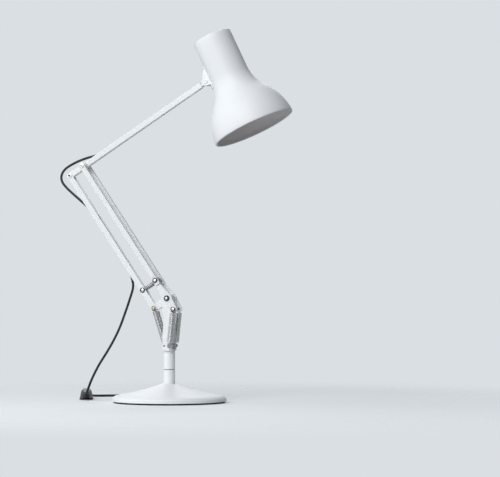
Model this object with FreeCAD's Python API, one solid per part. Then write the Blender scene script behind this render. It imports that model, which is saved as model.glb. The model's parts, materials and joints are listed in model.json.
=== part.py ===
import FreeCAD, Part
import math
import os

# Architect lamp: a weighted foot, a turning post with a fork, a lower arm of two bars with a
# parallel rear link behind it, a single upper arm and a bell-shaped shade.
# The arms move in the XZ plane. +X points from the elbow to the shade and +Z up.
# The origin is the middle of the flat underside. All lengths are millimetres at real size.

V = FreeCAD.Vector
ORIGIN = V(0, 0, 0)
ACROSS = V(0, 1, 0)
UP = V(0, 0, 1)

# Clearances and overruns
cut_over = 1.0
running_gap = 0.05
seat_gap = 0.1
side_gap = 0.3

# Pose in which the lamp is drawn, in degrees
lower_rise = 123.7
upper_rise = 33.0
shade_lean = 25.5

# Foot
foot_radius = 75.0
foot_height = 25.0
foot_rim_width = 7.0
foot_cone_height = 9.8
foot_rim_height = 5.6
foot_hollow = 1.2
foot_rim_round = 1.4
foot_seat_radius = 9.0
cover_wall = 1.5
pad_height = 2.0
pad_inset = 2.0

# Stem, swivel and post
post_radius = 7.45
stem_top = 43.0
stem_tail_radius = 4.9
stem_tail_low = 4.5
stem_nut_radius = 9.2
stem_nut_height = 4.0
nut_recess_radius = 13.0
spigot_radius = 4.0
spigot_low = 27.0
spigot_cover = 8.0
swivel_washer_height = 0.7
swivel_washer_inset = 0.5

# Fork bracket on the post
fork_inner = 8.6
fork_wall = 2.0
fork_foot_half = 6.5
fork_bend = 1.2
fork_eye_radius = 6.6
fork_waist_half = 5.2
fork_waist_share = 1.6
shoulder_height = 136.6
fork_bolt_radius = 2.5
fork_bolt_head_radius = 4.0
fork_bolt_head_height = 1.6
fork_bolt_depth = 7.0
anchor_radius = 1.5
anchor_height = 74.4
anchor_rise = 6.4
rear_anchor_x = -4.3
front_anchor_x = 4.3
anchor_head_radius = 2.7
anchor_head_height = 1.0

# Lower arm of two bars
lower_length = 210.0
bar_depth = 7.0
bar_width = 5.4
bar_wall = 1.0
bar_corner = 0.9
bar_low_end = 21.5
bar_eye_solid = 7.0
plate_wall = 2.0
plate_gap = 0.4
plate_eye_radius = 6.2
plate_tail_radius = 4.2
tail_length = 17.0
tenon_length = 17.0
tenon_play = 0.2
spacer_station = 28.0
rivet_station = 35.0
rivet_radius = 1.3
rivet_head_share = 1.5
tail_stud_radius = 1.9
tail_head_radius = 3.4
shoulder_axle_radius = 2.8
shoulder_head_radius = 3.5
shoulder_nut_radius = 4.8
shoulder_head_height = 2.0
bush_flange = 4.4
bush_wall = 1.0

# Parallel linkage
crank_length = 23.5
crank_half = 3.9
crank_hub_radius = 5.6
crank_eye_radius = 3.9
link_depth = 7.0
link_inner_half = 4.2
link_wall = 1.0
link_eye_reach = 4.4
link_web_start = 6.5
link_pin_radius = 1.8
pin_head_radius = 2.7
pin_head_height = 0.9
entry_station = 36.0
entry_length = 22.0
outlet_station = 43.0
outlet_length = 19.0
lead_slot_width = 4.4
brake_eye_radius = 2.2
brake_eye_half = 1.4
brake_rod_radius = 1.2
brake_coil_radius = 2.6
brake_wire = 1.0
brake_curls = 5
grip_pin_radius = 1.4

# Upper arm
upper_length = 199.0
upper_depth = 7.5
upper_width = 7.8
upper_wall = 1.1
upper_corner = 1.2
upper_tube_end = 190.0
upper_hollow_start = 9.0
elbow_axle_radius = 2.5
elbow_head_radius = 3.3
elbow_nut_radius = 4.3
elbow_head_height = 1.5
elbow_bush_radius = 4.7
mouth_station = 12.0
mouth_length = 18.0
socket_length = 20.0
socket_flange = 1.2

# Axle heads and nuts
spacer_axle_radius = 2.0
spacer_sleeve_radius = 3.0
spacer_head_radius = 3.3
spacer_nut_radius = 3.6
spacer_head_height = 1.4
nut_height = 2.2

# Arm springs
link_spring_low_side = 4.5
link_spring_high_side = 6.3
link_spring_coil = 2.8
link_spring_wire = 0.8
link_spring_curls = 12
arm_spring_coil = 3.6
arm_spring_wire = 0.9
arm_spring_curls = 12
spring_eye_gap = 0.35
spring_lead = 3.2
spring_rise = 2.6
spring_start_share = 0.25

# Shade
shade_length = 133.0
neck_radius = 25.8
neck_length = 56.0
flare_radius = 50.0
flare_angle = 40.0
mouth_radius = 55.0
shade_wall = 1.0
cap_round = 2.6
pivot_offset = 31.4
pivot_station = 50.0
lip_radius = 1.1

# Shade bracket and knuckle
saddle_wall = 1.4
saddle_above = 19.0
saddle_below = 13.0
saddle_half = 5.4
lug_inner = 3.3
lug_radius = 5.4
fin_radius = 4.8
fin_reach = 13.0
fin_tip_radius = 2.2
fin_tip_offset = 0.9
knuckle_radius = 3.8
knuckle_collar_radius = 3.6
knuckle_spigot_radius = 2.0
tilt_axle_radius = 2.0
tilt_head_radius = 2.7
tilt_head_height = 0.9
knob_radius = 5.2
knob_height = 5.0
knob_scallop_radius = 1.1
knob_scallops = 8
saddle_screw_radius = 1.6
saddle_screw_head_radius = 2.5
saddle_screw_head_height = 1.1
saddle_screw_inset = 3.0

# Lamp holder and bulb
carrier_wall = 4.0
carrier_web_high = 40.0
carrier_web_low = 48.0
holder_radius = 13.0
holder_high = 20.0
holder_low = 56.0
holder_flange = 1.5
holder_flange_height = 2.5
cap_radius = 7.0
cap_high = 30.0
bulb_radius = 20.0
bulb_station = 82.0
bulb_neck_radius = 9.5
bulb_neck_station = 60.0
bulb_shoulder_share = 0.85
bulb_shoulder_drop_share = 0.35

# Lead, held in the arms and free behind them
lead_diameter = 3.2
lead_radius = lead_diameter / 2
lead_bend_station = 31.0
lead_held_station = 40.0
link_entry_run = 5.0
link_outlet_run = 14.3
drop_station = 48.6
drop_offset = 5.2
lead_corner_share = 0.45

# Switch on the free lead
switch_length = 50.0
switch_width = 19.0
switch_height = 13.0
switch_end_width = 9.0
switch_end_height = 8.0
switch_taper = 13.0
switch_round = 1.6
switch_turn = 107.0
pocket_length = 17.2
pocket_width = 9.2
pocket_depth = 3.4
rocker_length = 16.2
rocker_width = 9.0
rocker_pivot_depth = 1.35
rocker_crown = 2.2
rocker_dip = 0.7
rocker_keel = 1.85
rocker_tilt = 6.0
trunnion_radius = 0.8
trunnion_length = 1.0

# Plug on the far end
plug_length = 34.0
plug_width = 27.0
plug_height = 13.6
plug_tail_width = 9.0
plug_tail_height = 8.0
plug_neck = 16.0
plug_round = 2.0
plug_turn = 90.0
prong_radius = 2.0
prong_length = 19.0
prong_spread = 9.5

# Coil of spare lead
coil_x = -33.0
coil_y = 113.0
coil_outer = 26.2
coil_pitch = 4.6
coil_rise = 3.65
coil_turns_per_layer = 3
coil_half_turns = 23

# Loop of the lead behind the elbow, chosen by hand, as (x, z) from the elbow
elbow_loop = (
    (17.0, 14.0),
    (5.5, 11.6),
    (-7.0, 7.6),
    (-18.7, 2.2),
    (-27.4, -3.2),
    (-32.6, -10.2),
    (-33.0, -19.0),
    (-26.6, -27.6),
    (-17.0, -36.2),
    (-8.3, -43.6),
    (2.4, -52.6),
    (13.5, -62.6),
)

# Hanging stretch of the lead, chosen by hand, as (x, y) and as shares of its upper end's height
drop_places = (
    (-48.9, 0),
    (-53.6, 0),
    (-60.6, 0),
    (-69.2, 0),
    (-83.0, 0),
    (-96.3, 0),
    (-105.0, 0),
    (-111.5, 2.0),
    (-116.5, 9.5),
)
drop_height_shares = (0.940, 0.849, 0.725, 0.583, 0.428, 0.307, 0.205, 0.120, 0.061)
drop_end = (
    (-121.5, 21.0, 6.6),
    (-125.6, 34.0, 6.5),
)

# Stretches of the lead on the floor, chosen by hand, as (x, y, z)
floor_route = (
    (-140.2, 81.8, 6.5),
    (-144.2, 94.8, 5.6),
    (-144.8, 109.0, 2.6),
    (-138.6, 122.0, lead_radius),
    (-126.5, 131.2, lead_radius),
    (-109.0, 135.4, lead_radius),
    (-86.0, 136.0, lead_radius),
    (-60.0, 139.2, lead_radius),
)
tail_route = (
    (-51.0, 129.0, 12.5),
    (-52.0, 145.5, 10.2),
    (-53.8, 158.5, 7.6),
    (-53.8, 171.0, 6.8),
)

# Sizes worked out from those above
foot_cone_radius = foot_radius - foot_rim_width
post_top = anchor_height - anchor_rise
spigot_high = post_top - spigot_cover
saddle_high = pivot_station - saddle_above
saddle_low = pivot_station + saddle_below
fork_outer = fork_inner + fork_wall
plate_inner = fork_outer + plate_gap
plate_outer = plate_inner + plate_wall
bar_mid = (plate_inner + plate_outer) / 2
bar_inner = bar_mid - bar_width / 2
bar_outer = bar_mid + bar_width / 2
link_outer = link_inner_half + link_wall
shoulder = V(0, 0, shoulder_height)


def along(start, rise, distance, offset=0):
    """Point at a distance along a direction in the XZ plane, offset to its left."""
    angle = math.radians(rise)
    step = V(math.cos(angle), 0, math.sin(angle))
    side = V(-math.sin(angle), 0, math.cos(angle))
    return start + step * distance + side * offset


elbow = along(shoulder, lower_rise, lower_length)
link_low = along(shoulder, upper_rise, -crank_length)
link_high = along(elbow, upper_rise, -crank_length)
arm_tail = along(shoulder, lower_rise, -tail_length)
spacer_point = along(shoulder, lower_rise, spacer_station)
grip_point = along(link_low, lower_rise, spacer_station)
shade_pivot = along(elbow, upper_rise, upper_length)
rear_anchor = V(rear_anchor_x, 0, anchor_height)
front_anchor = V(front_anchor_x, 0, anchor_height)
arm_spring_side = fork_outer + side_gap + arm_spring_coil + arm_spring_wire / 2
elbow_route = tuple((elbow.x + x, 0, elbow.z + z) for x, z in elbow_loop)
drop_start = along(link_low, lower_rise, drop_station, drop_offset)
drop_middle = tuple((x, y, share * drop_start.z)
                    for (x, y), share in zip(drop_places, drop_height_shares))
drop_route = (tuple(drop_start),) + drop_middle + drop_end

pieces = {}


def keep(name, shape):
    """Stores one finished piece under its own name."""
    pieces[name] = shape


def group(shapes):
    """Several separate solids of one piece."""
    return Part.makeCompound(shapes)


def mirrored(shape):
    """The same piece on the far side of the arm plane."""
    return shape.mirror(ORIGIN, ACROSS)


def pin(centre, radius, low, high):
    """Round pin across the arms."""
    return Part.makeCylinder(radius, high - low, V(centre.x, low, centre.z), ACROSS)


def block(low, high):
    """Box between two corners."""
    size = high - low
    return Part.makeBox(size.x, size.y, size.z, low)


def hull_plate(first, first_radius, second, second_radius, low, high):
    """Flat plate with two round ends joined by straight edges, standing across the arms."""
    gap = second - first
    heading = math.atan2(gap.z, gap.x)
    spread = math.acos((first_radius - second_radius) / gap.Length)

    def rim(centre, radius, angle):
        return V(centre.x + radius * math.cos(angle), low, centre.z + radius * math.sin(angle))

    first_left = rim(first, first_radius, heading + spread)
    first_right = rim(first, first_radius, heading - spread)
    first_back = rim(first, first_radius, heading + math.pi)
    second_left = rim(second, second_radius, heading + spread)
    second_right = rim(second, second_radius, heading - spread)
    second_tip = rim(second, second_radius, heading)
    outline = Part.Wire([
        Part.Arc(first_left, first_back, first_right).toShape(),
        Part.LineSegment(first_right, second_right).toShape(),
        Part.Arc(second_right, second_tip, second_left).toShape(),
        Part.LineSegment(second_left, first_left).toShape(),
    ])
    return Part.Face(outline).extrude(V(0, high - low, 0))


def on_link(shape, start, rise):
    """Moves a piece drawn along +X onto a link that starts at a point and rises at an angle."""
    placed = shape.copy()
    placed.rotate(ORIGIN, ACROSS, -rise)
    placed.translate(start)
    return placed


def on_shade(shape):
    """Moves a piece drawn on an upright shade to the leaning one."""
    placed = shape.copy()
    placed.translate(V(pivot_offset, 0, pivot_station))
    placed.rotate(ORIGIN, ACROSS, -shade_lean)
    placed.translate(shade_pivot)
    return placed


def box_section(start, end, depth, low, high, corner):
    """Straight bar of rounded box section drawn along +X."""
    bar = block(V(start, low, -depth / 2), V(end, high, depth / 2))
    long_edges = [e for e in bar.Edges if abs(e.tangentAt(e.FirstParameter).x) > 0.99]
    return bar.makeFillet(corner, long_edges)


def hexagon(centre, radius, low, high):
    """Hexagon nut across the arms."""
    corners = []
    for step in range(7):
        angle = math.radians(60 * step)
        corners.append(V(centre.x + radius * math.cos(angle), low, centre.z + radius * math.sin(angle)))
    nut = Part.Face(Part.makePolygon(corners)).extrude(V(0, high - low, 0))
    return nut


def domed_head(centre, radius, face, height):
    """Low round head that stands on a face and points along -Y."""
    head = pin(centre, radius, face - height, face)
    front = [e for e in head.Edges if abs(e.BoundBox.YMin - (face - height)) < seat_gap
             and abs(e.BoundBox.YMax - (face - height)) < seat_gap]
    return head.makeFillet(height / 2, front)


def turned(points):
    """Solid of revolution about +Z from (radius, height) edges."""
    face = Part.Face(Part.Wire(points))
    return face.revolve(ORIGIN, UP, 360)


def arc_end(start, heading, end):
    """Arc that leaves a point on a heading and reaches another; gives the arc and its last heading."""
    chord = end - start
    line = V(chord).normalize()
    forward = heading.dot(line)
    if forward > 1 - 1e-9:
        return Part.LineSegment(start, end).toShape(), V(heading)
    side = heading - line * forward
    side.normalize()
    bulge = chord.Length / 2 * math.tan(math.acos(forward) / 2)
    middle = (start + end) * 0.5 + side * bulge
    last = line * (2 * forward) - heading
    return Part.Arc(start, middle, end).toShape(), last


def two_arcs(start, heading, end, last):
    """Pair of tangent arcs between two points with given headings."""
    gap = end - start
    both = heading + last
    turn = 2 * (1 - heading.dot(last))
    reach = gap.dot(both)
    if turn < 1e-9:
        arm = gap.dot(gap) / (2 * reach)
    else:
        arm = (math.sqrt(reach * reach + turn * gap.dot(gap)) - reach) / turn
    joint = (start + end + (heading - last) * arm) * 0.5
    first, between = arc_end(start, heading, joint)
    second, _ = arc_end(joint, between, end)
    return [first, second]


def round_wire(path, radius):
    """Solid round wire along a smooth path."""
    first = path.OrderedEdges[0]
    start = first.valueAt(first.FirstParameter)
    heading = first.tangentAt(first.FirstParameter)
    profile = Part.Wire([Part.makeCircle(radius, start, heading)])
    shell = Part.BRepOffsetAPI.MakePipeShell(path)
    shell.add(profile)
    shell.build()
    shell.makeSolid()
    return shell.shape()


def least_gap(path, diameter):
    """Least distance between two turns of one wire, measured on points of its path."""
    step = diameter / 2
    points = path.discretize(Distance=step)
    near = int(math.pi * diameter / step) + 2
    least = path.Length
    for index, point in enumerate(points):
        for other in points[index + near:]:
            if abs(point.z - other.z) < least and abs(point.x - other.x) < least:
                least = min(least, (point - other).Length)
    return least - diameter


def lead_path(name, route):
    """Straight runs joined by tangent arcs through a route; prints the least radius of its bends."""
    points = [V(*place) for place in route]
    edges = []
    radii = []
    last = points[0]
    for before, corner, after in zip(points, points[1:], points[2:]):
        run_in = corner - before
        run_out = after - corner
        turn = run_in.getAngle(run_out)
        reach = lead_corner_share * min(run_in.Length, run_out.Length)
        radii.append(reach / math.tan(turn / 2))
        enter = corner - V(run_in).normalize() * reach
        leave = corner + V(run_out).normalize() * reach
        edges.append(Part.LineSegment(last, enter).toShape())
        arc, _ = arc_end(enter, V(run_in).normalize(), leave)
        edges.append(arc)
        last = leave
    edges.append(Part.LineSegment(last, points[-1]).toShape())
    path = Part.Wire(edges)
    print(f"{name}: length {path.Length:.1f}, bend radii {min(radii):.1f} to {max(radii):.1f}")
    return path


def lead_tube(name, route):
    """One stretch of the lead as a tube."""
    path = lead_path(name, route)
    tube = round_wire(path, lead_radius)
    section = math.pi * lead_radius ** 2
    print(f"{name}: volume over section times length {tube.Volume / (section * path.Length):.4f}")
    return tube


def foot_form(inset, low):
    """Filled foot, a shallow hollow cone with a rounded rim, inset from its outer face."""
    top = foot_height - inset
    seat = V(foot_seat_radius, 0, top)
    shoulder_edge = V(foot_cone_radius - inset, 0, foot_cone_height - inset)
    chord = shoulder_edge - seat
    dip = V(chord.z, 0, -chord.x).normalize() * foot_hollow
    cone = Part.Arc(seat, (seat + shoulder_edge) * 0.5 + dip, shoulder_edge).toShape()
    rim_high = V(foot_radius - inset, 0, foot_rim_height - inset)
    outward = (rim_high + shoulder_edge) * 0.5 + V(foot_rim_round, 0, foot_rim_round) * 0.5
    rim = Part.Arc(shoulder_edge, outward, rim_high).toShape()
    rim_low = V(foot_radius - inset, 0, low)
    return turned([
        Part.LineSegment(V(0, 0, low), V(0, 0, top)).toShape(),
        Part.LineSegment(V(0, 0, top), seat).toShape(),
        cone,
        rim,
        Part.LineSegment(rim_high, rim_low).toShape(),
        Part.LineSegment(rim_low, V(0, 0, low)).toShape(),
    ])


def make_foot():
    """Painted cover, iron weight and rubber pad."""
    tail_bore = Part.makeCylinder(stem_tail_radius + running_gap, foot_height + cut_over, ORIGIN, UP)
    cover = foot_form(0, pad_height).cut(foot_form(cover_wall, -cut_over))
    keep("foot_cover", cover.cut(tail_bore))
    weight = foot_form(cover_wall + seat_gap, pad_height)
    recess_height = stem_tail_low + stem_nut_height + side_gap
    recess = Part.makeCylinder(nut_recess_radius, recess_height, ORIGIN, UP)
    keep("foot_weight", weight.cut(tail_bore).cut(recess))
    keep("foot_pad", Part.makeCylinder(foot_radius - pad_inset, pad_height, ORIGIN, UP))


def make_stem():
    """Fixed stem with its nut, the swivel spigot and the dark washer on which the post turns."""
    stem = Part.makeCylinder(post_radius, stem_top - foot_height, V(0, 0, foot_height), UP)
    tail_height = foot_height - stem_tail_low
    tail = Part.makeCylinder(stem_tail_radius, tail_height, V(0, 0, stem_tail_low), UP)
    bore = Part.makeCylinder(spigot_radius, stem_top, V(0, 0, spigot_low), UP)
    keep("foot_stem", stem.fuse(tail).removeSplitter().cut(bore))
    nut_low = stem_tail_low
    corners = []
    for step in range(7):
        angle = math.radians(60 * step)
        corners.append(V(stem_nut_radius * math.cos(angle), stem_nut_radius * math.sin(angle), nut_low))
    nut = Part.Face(Part.makePolygon(corners)).extrude(V(0, 0, stem_nut_height))
    thread = Part.makeCylinder(stem_tail_radius + running_gap, stem_top, ORIGIN, UP)
    keep("stem_nut", nut.cut(thread))
    keep("swivel_spigot", Part.makeCylinder(spigot_radius, spigot_high - spigot_low,
                                            V(0, 0, spigot_low), UP))
    washer_radius = post_radius - swivel_washer_inset
    washer = Part.makeCylinder(washer_radius, swivel_washer_height, V(0, 0, stem_top), UP)
    keep("swivel_washer", washer.cut(Part.makeCylinder(spigot_radius + running_gap, spigot_high, ORIGIN, UP)))


def make_post():
    """Turning post on the spigot."""
    low = stem_top + swivel_washer_height + seat_gap
    post = Part.makeCylinder(post_radius, post_top - low, V(0, 0, low), UP)
    bore_height = spigot_high + side_gap - low
    bore = Part.makeCylinder(spigot_radius + running_gap, bore_height, V(0, 0, low), UP)
    bolt_hole = Part.makeCylinder(fork_bolt_radius + running_gap, fork_bolt_depth + seat_gap,
                                  V(0, 0, post_top - fork_bolt_depth - seat_gap), UP)
    keep("post", post.cut(bore).cut(bolt_hole))


def make_fork():
    """Fork bent from one strip, its bolt and the two cross pins that hold the springs."""
    web_top = post_top + fork_wall
    foot_point = V(0, 0, anchor_height)
    outer = hull_plate(shoulder, fork_eye_radius, foot_point, fork_foot_half, -fork_outer, fork_outer)
    strap_low = block(V(-fork_foot_half, -fork_outer, post_top),
                      V(fork_foot_half, fork_outer, anchor_height))
    strap_ends = [e for e in strap_low.Edges
                  if abs(e.tangentAt(e.FirstParameter).x) > 0.99 and e.BoundBox.ZMax < web_top]
    strap = outer.fuse(strap_low.makeFillet(fork_bend, strap_ends))
    above = block(V(-foot_radius, -foot_radius, post_top), V(foot_radius, foot_radius, shoulder_height * 2))
    strap = strap.common(above)
    inside = block(V(-foot_radius, -fork_inner, web_top), V(foot_radius, fork_inner, shoulder_height * 2))
    fork = strap.cut(inside)
    waist_radius = (shoulder_height - anchor_height) * fork_waist_share
    for side in (-1, 1):
        waist_x = side * (fork_waist_half + waist_radius)
        waist = V(waist_x, 0, (shoulder_height + anchor_height) / 2)
        fork = fork.cut(pin(waist, waist_radius, -fork_outer - cut_over, fork_outer + cut_over))
    fork = fork.cut(pin(shoulder, shoulder_axle_radius, -fork_outer - cut_over, fork_outer + cut_over))
    for anchor in (rear_anchor, front_anchor):
        fork = fork.cut(pin(anchor, anchor_radius, -fork_outer - cut_over, fork_outer + cut_over))
    hole = Part.makeCylinder(fork_bolt_radius + running_gap, fork_wall + 2 * cut_over,
                             V(0, 0, post_top - cut_over), UP)
    keep("fork", fork.cut(hole))
    shank_low = post_top - fork_bolt_depth
    shank = Part.makeCylinder(fork_bolt_radius, web_top - shank_low, V(0, 0, shank_low), UP)
    head = Part.makeCylinder(fork_bolt_head_radius, fork_bolt_head_height, V(0, 0, web_top), UP)
    keep("fork_bolt", shank.fuse(head).removeSplitter())
    rear_pin = pin(rear_anchor, anchor_radius, -fork_outer, fork_outer)
    reach = arm_spring_side + arm_spring_wire
    front_pin = pin(front_anchor, anchor_radius, -reach, reach)
    near = pin(front_anchor, anchor_head_radius, -reach - anchor_head_height, -reach)
    far = pin(front_anchor, anchor_head_radius, reach, reach + anchor_head_height)
    keep("anchor_pins", group([rear_pin, front_pin.fuse([near, far]).removeSplitter()]))


def make_lower_arm():
    """Two hollow bars, the plates in their lower ends, rivets and the studs that the springs pull."""
    bar = box_section(bar_low_end, lower_length, bar_depth, bar_inner, bar_outer, bar_corner)
    far_eye = V(lower_length, 0, 0)
    round_end = pin(far_eye, bar_depth / 2, bar_inner, bar_outer)
    bar = bar.fuse(round_end).removeSplitter()
    hollow_depth = bar_depth - 2 * bar_wall
    hollow = block(V(bar_low_end - cut_over, bar_inner + bar_wall, -hollow_depth / 2),
                   V(lower_length - bar_eye_solid, bar_outer - bar_wall, hollow_depth / 2))
    bar = bar.cut(hollow)
    bar = bar.cut(pin(far_eye, elbow_axle_radius + running_gap, bar_inner - cut_over, bar_outer + cut_over))
    spacer_eye = V(spacer_station, 0, 0)
    spacer_hole = pin(spacer_eye, spacer_axle_radius + running_gap, plate_inner - bar_width,
                      plate_outer + bar_width)
    rivet_eye = V(rivet_station, 0, 0)
    rivet_hole = pin(rivet_eye, rivet_radius, plate_inner - bar_width, plate_outer + bar_width)
    bar = bar.cut(spacer_hole).cut(rivet_hole)

    tenon_half = hollow_depth / 2 - tenon_play
    tenon_end = bar_low_end + tenon_length
    tenon = block(V(0, plate_inner, -tenon_half), V(tenon_end, plate_outer, tenon_half))
    neck_end = V(bar_low_end - bar_depth / 2 - seat_gap, 0, 0)
    upper = hull_plate(ORIGIN, plate_eye_radius, neck_end, bar_depth / 2, plate_inner, plate_outer)
    tail_eye = V(-tail_length, 0, 0)
    lower = hull_plate(ORIGIN, plate_eye_radius, tail_eye, plate_tail_radius, plate_inner, plate_outer)
    plate = upper.fuse([lower, tenon]).removeSplitter()
    plate = plate.cut(spacer_hole).cut(rivet_hole)
    bush_radius = shoulder_axle_radius + bush_wall
    plate = plate.cut(pin(ORIGIN, bush_radius, plate_inner - cut_over, plate_outer + cut_over))
    plate = plate.cut(pin(tail_eye, tail_stud_radius, plate_inner - cut_over, plate_outer + cut_over))

    bush = pin(ORIGIN, bush_radius, plate_inner, plate_outer)
    flange = pin(ORIGIN, bush_flange, plate_outer, plate_outer + side_gap)
    bush = bush.fuse(flange).removeSplitter()
    bush = bush.cut(pin(ORIGIN, shoulder_axle_radius + running_gap, plate_inner - cut_over,
                        plate_outer + cut_over))

    stud_end = arm_spring_side + arm_spring_wire
    stud = pin(tail_eye, tail_stud_radius, plate_inner, stud_end)
    stud_head = pin(tail_eye, tail_head_radius, stud_end, stud_end + anchor_head_height)
    stud = stud.fuse(stud_head).removeSplitter()

    rivet_head = rivet_radius * rivet_head_share
    rivet = pin(rivet_eye, rivet_radius, bar_inner, bar_outer)
    rivet = rivet.fuse(pin(rivet_eye, rivet_head, bar_outer, bar_outer + rivet_radius / 2)).removeSplitter()

    far = {"bar": bar, "plate": plate, "bush": bush, "stud": stud, "rivet": rivet}
    placed = {name: on_link(shape, shoulder, lower_rise) for name, shape in far.items()}
    keep("lower_bar_far", placed["bar"])
    keep("lower_bar_near", mirrored(placed["bar"]))
    keep("tail_plate_far", placed["plate"])
    keep("tail_plate_near", mirrored(placed["plate"]))
    keep("shoulder_bushes", group([placed["bush"], mirrored(placed["bush"])]))
    keep("spring_studs", group([placed["stud"], mirrored(placed["stud"])]))
    keep("bar_rivets", group([placed["rivet"], mirrored(placed["rivet"])]))


def make_shoulder_axle():
    """Bolt on which the lower arm and the crank turn, with its nut."""
    head_face = -(plate_outer + side_gap + seat_gap)
    nut_face = -head_face
    shaft = pin(shoulder, shoulder_axle_radius, head_face, nut_face + nut_height)
    head = domed_head(shoulder, shoulder_head_radius, head_face, shoulder_head_height)
    keep("shoulder_bolt", shaft.fuse(head).removeSplitter())
    nut = hexagon(shoulder, shoulder_nut_radius, nut_face, nut_face + nut_height)
    keep("shoulder_nut", nut.cut(pin(shoulder, shoulder_axle_radius, nut_face - cut_over,
                                     nut_face + nut_height + cut_over)))


def make_crank():
    """Crank between the fork cheeks, and its pin through the rear link."""
    arm = hull_plate(shoulder, crank_hub_radius, link_low, crank_eye_radius, -crank_half, crank_half)
    hub_half = fork_inner - side_gap
    hub = pin(shoulder, crank_hub_radius, -hub_half, hub_half)
    crank = arm.fuse(hub).removeSplitter()
    bore_radius = shoulder_axle_radius + running_gap
    crank = crank.cut(pin(shoulder, bore_radius, -hub_half - cut_over, hub_half + cut_over))
    crank = crank.cut(pin(link_low, link_pin_radius, -hub_half, hub_half))
    keep("crank", crank)
    reach = link_spring_high_side + link_spring_wire
    shaft = pin(link_low, link_pin_radius, -reach, reach)
    near = pin(link_low, pin_head_radius, -reach - pin_head_height, -reach)
    far = pin(link_low, pin_head_radius, reach, reach + pin_head_height)
    keep("crank_pin", shaft.fuse([near, far]).removeSplitter())


def make_rear_link():
    """Channel that runs parallel to the lower arm and carries the lead."""
    half = link_depth / 2
    low_end = V(0, 0, 0)
    high_end = V(lower_length, 0, 0)
    body = hull_plate(low_end, half, high_end, half, -link_outer, link_outer)
    slot = block(V(-link_depth, -link_inner_half, -half - cut_over),
                 V(lower_length + link_depth, link_inner_half, half - link_wall))
    body = body.cut(slot)
    for start, end in ((-link_depth, link_web_start),
                       (lower_length - link_web_start, lower_length + link_depth)):
        body = body.cut(block(V(start, -link_inner_half, -half), V(end, link_inner_half, half + cut_over)))
    for eye in (low_end, high_end):
        body = body.cut(pin(eye, link_pin_radius + running_gap, -link_outer - cut_over,
                            link_outer + cut_over))
    grip_eye = V(spacer_station, 0, 0)
    body = body.cut(pin(grip_eye, grip_pin_radius, -link_outer - cut_over, link_outer + cut_over))
    entry_low = lower_length - entry_station - entry_length
    for low, length in ((entry_low, entry_length), (outlet_station, outlet_length)):
        body = body.cut(block(V(low, -lead_slot_width / 2, 0),
                              V(low + length, lead_slot_width / 2, half + cut_over)))
    keep("rear_link", on_link(body, link_low, lower_rise))
    shaft = pin(grip_point, grip_pin_radius, -link_outer, link_outer)
    head_high = link_outer + pin_head_height
    near = pin(grip_point, pin_head_radius, -head_high, -link_outer)
    far = pin(grip_point, pin_head_radius, link_outer, head_high)
    keep("brake_pin", shaft.fuse([near, far]).removeSplitter())


def make_tail_axle():
    """Pin that joins the tail of the upper arm to the rear link."""
    head_high = link_outer + pin_head_height
    shaft = pin(link_high, link_pin_radius, -link_outer - seat_gap, link_outer + seat_gap)
    near = pin(link_high, pin_head_radius, -head_high - seat_gap, -link_outer - seat_gap)
    far = pin(link_high, pin_head_radius, link_outer + seat_gap, head_high + seat_gap)
    keep("tail_pin", shaft.fuse([near, far]).removeSplitter())


def make_spacer_axle():
    """Cross bolt with a sleeve that keeps the two bars apart."""
    sleeve_half = bar_inner - side_gap
    sleeve = pin(spacer_point, spacer_sleeve_radius, -sleeve_half, sleeve_half)
    head_face = -(bar_outer + seat_gap)
    nut_face = -head_face
    shaft = pin(spacer_point, spacer_axle_radius, head_face, nut_face + nut_height)
    keep("spacer_sleeve", sleeve.cut(pin(spacer_point, spacer_axle_radius, -bar_outer, bar_outer)))
    head = domed_head(spacer_point, spacer_head_radius, head_face, spacer_head_height)
    keep("spacer_bolt", shaft.fuse(head).removeSplitter())
    nut = hexagon(spacer_point, spacer_nut_radius, nut_face, nut_face + nut_height)
    keep("spacer_nut", nut.cut(pin(spacer_point, spacer_axle_radius, nut_face - cut_over,
                                   nut_face + nut_height + cut_over)))


def helix_edges(base, axis, first, second, radius, pitch, start_turn, turns):
    """Helical wire as half turns of two tangent arcs."""
    rise = pitch / (2 * math.pi)

    def place(turn):
        angle = 2 * math.pi * turn
        outward = first * math.cos(angle) + second * math.sin(angle)
        around = second * math.cos(angle) - first * math.sin(angle)
        heading = around * radius + axis * rise
        return base + outward * radius + axis * (pitch * (turn - start_turn)), heading.normalize()

    edges = []
    halves = int(round(turns * 2))
    for half in range(halves):
        point, heading = place(start_turn + half / 2)
        after, last = place(start_turn + (half + 1) / 2)
        edges += two_arcs(point, heading, after, last)
    return edges, place(start_turn), place(start_turn + halves / 2)


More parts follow.
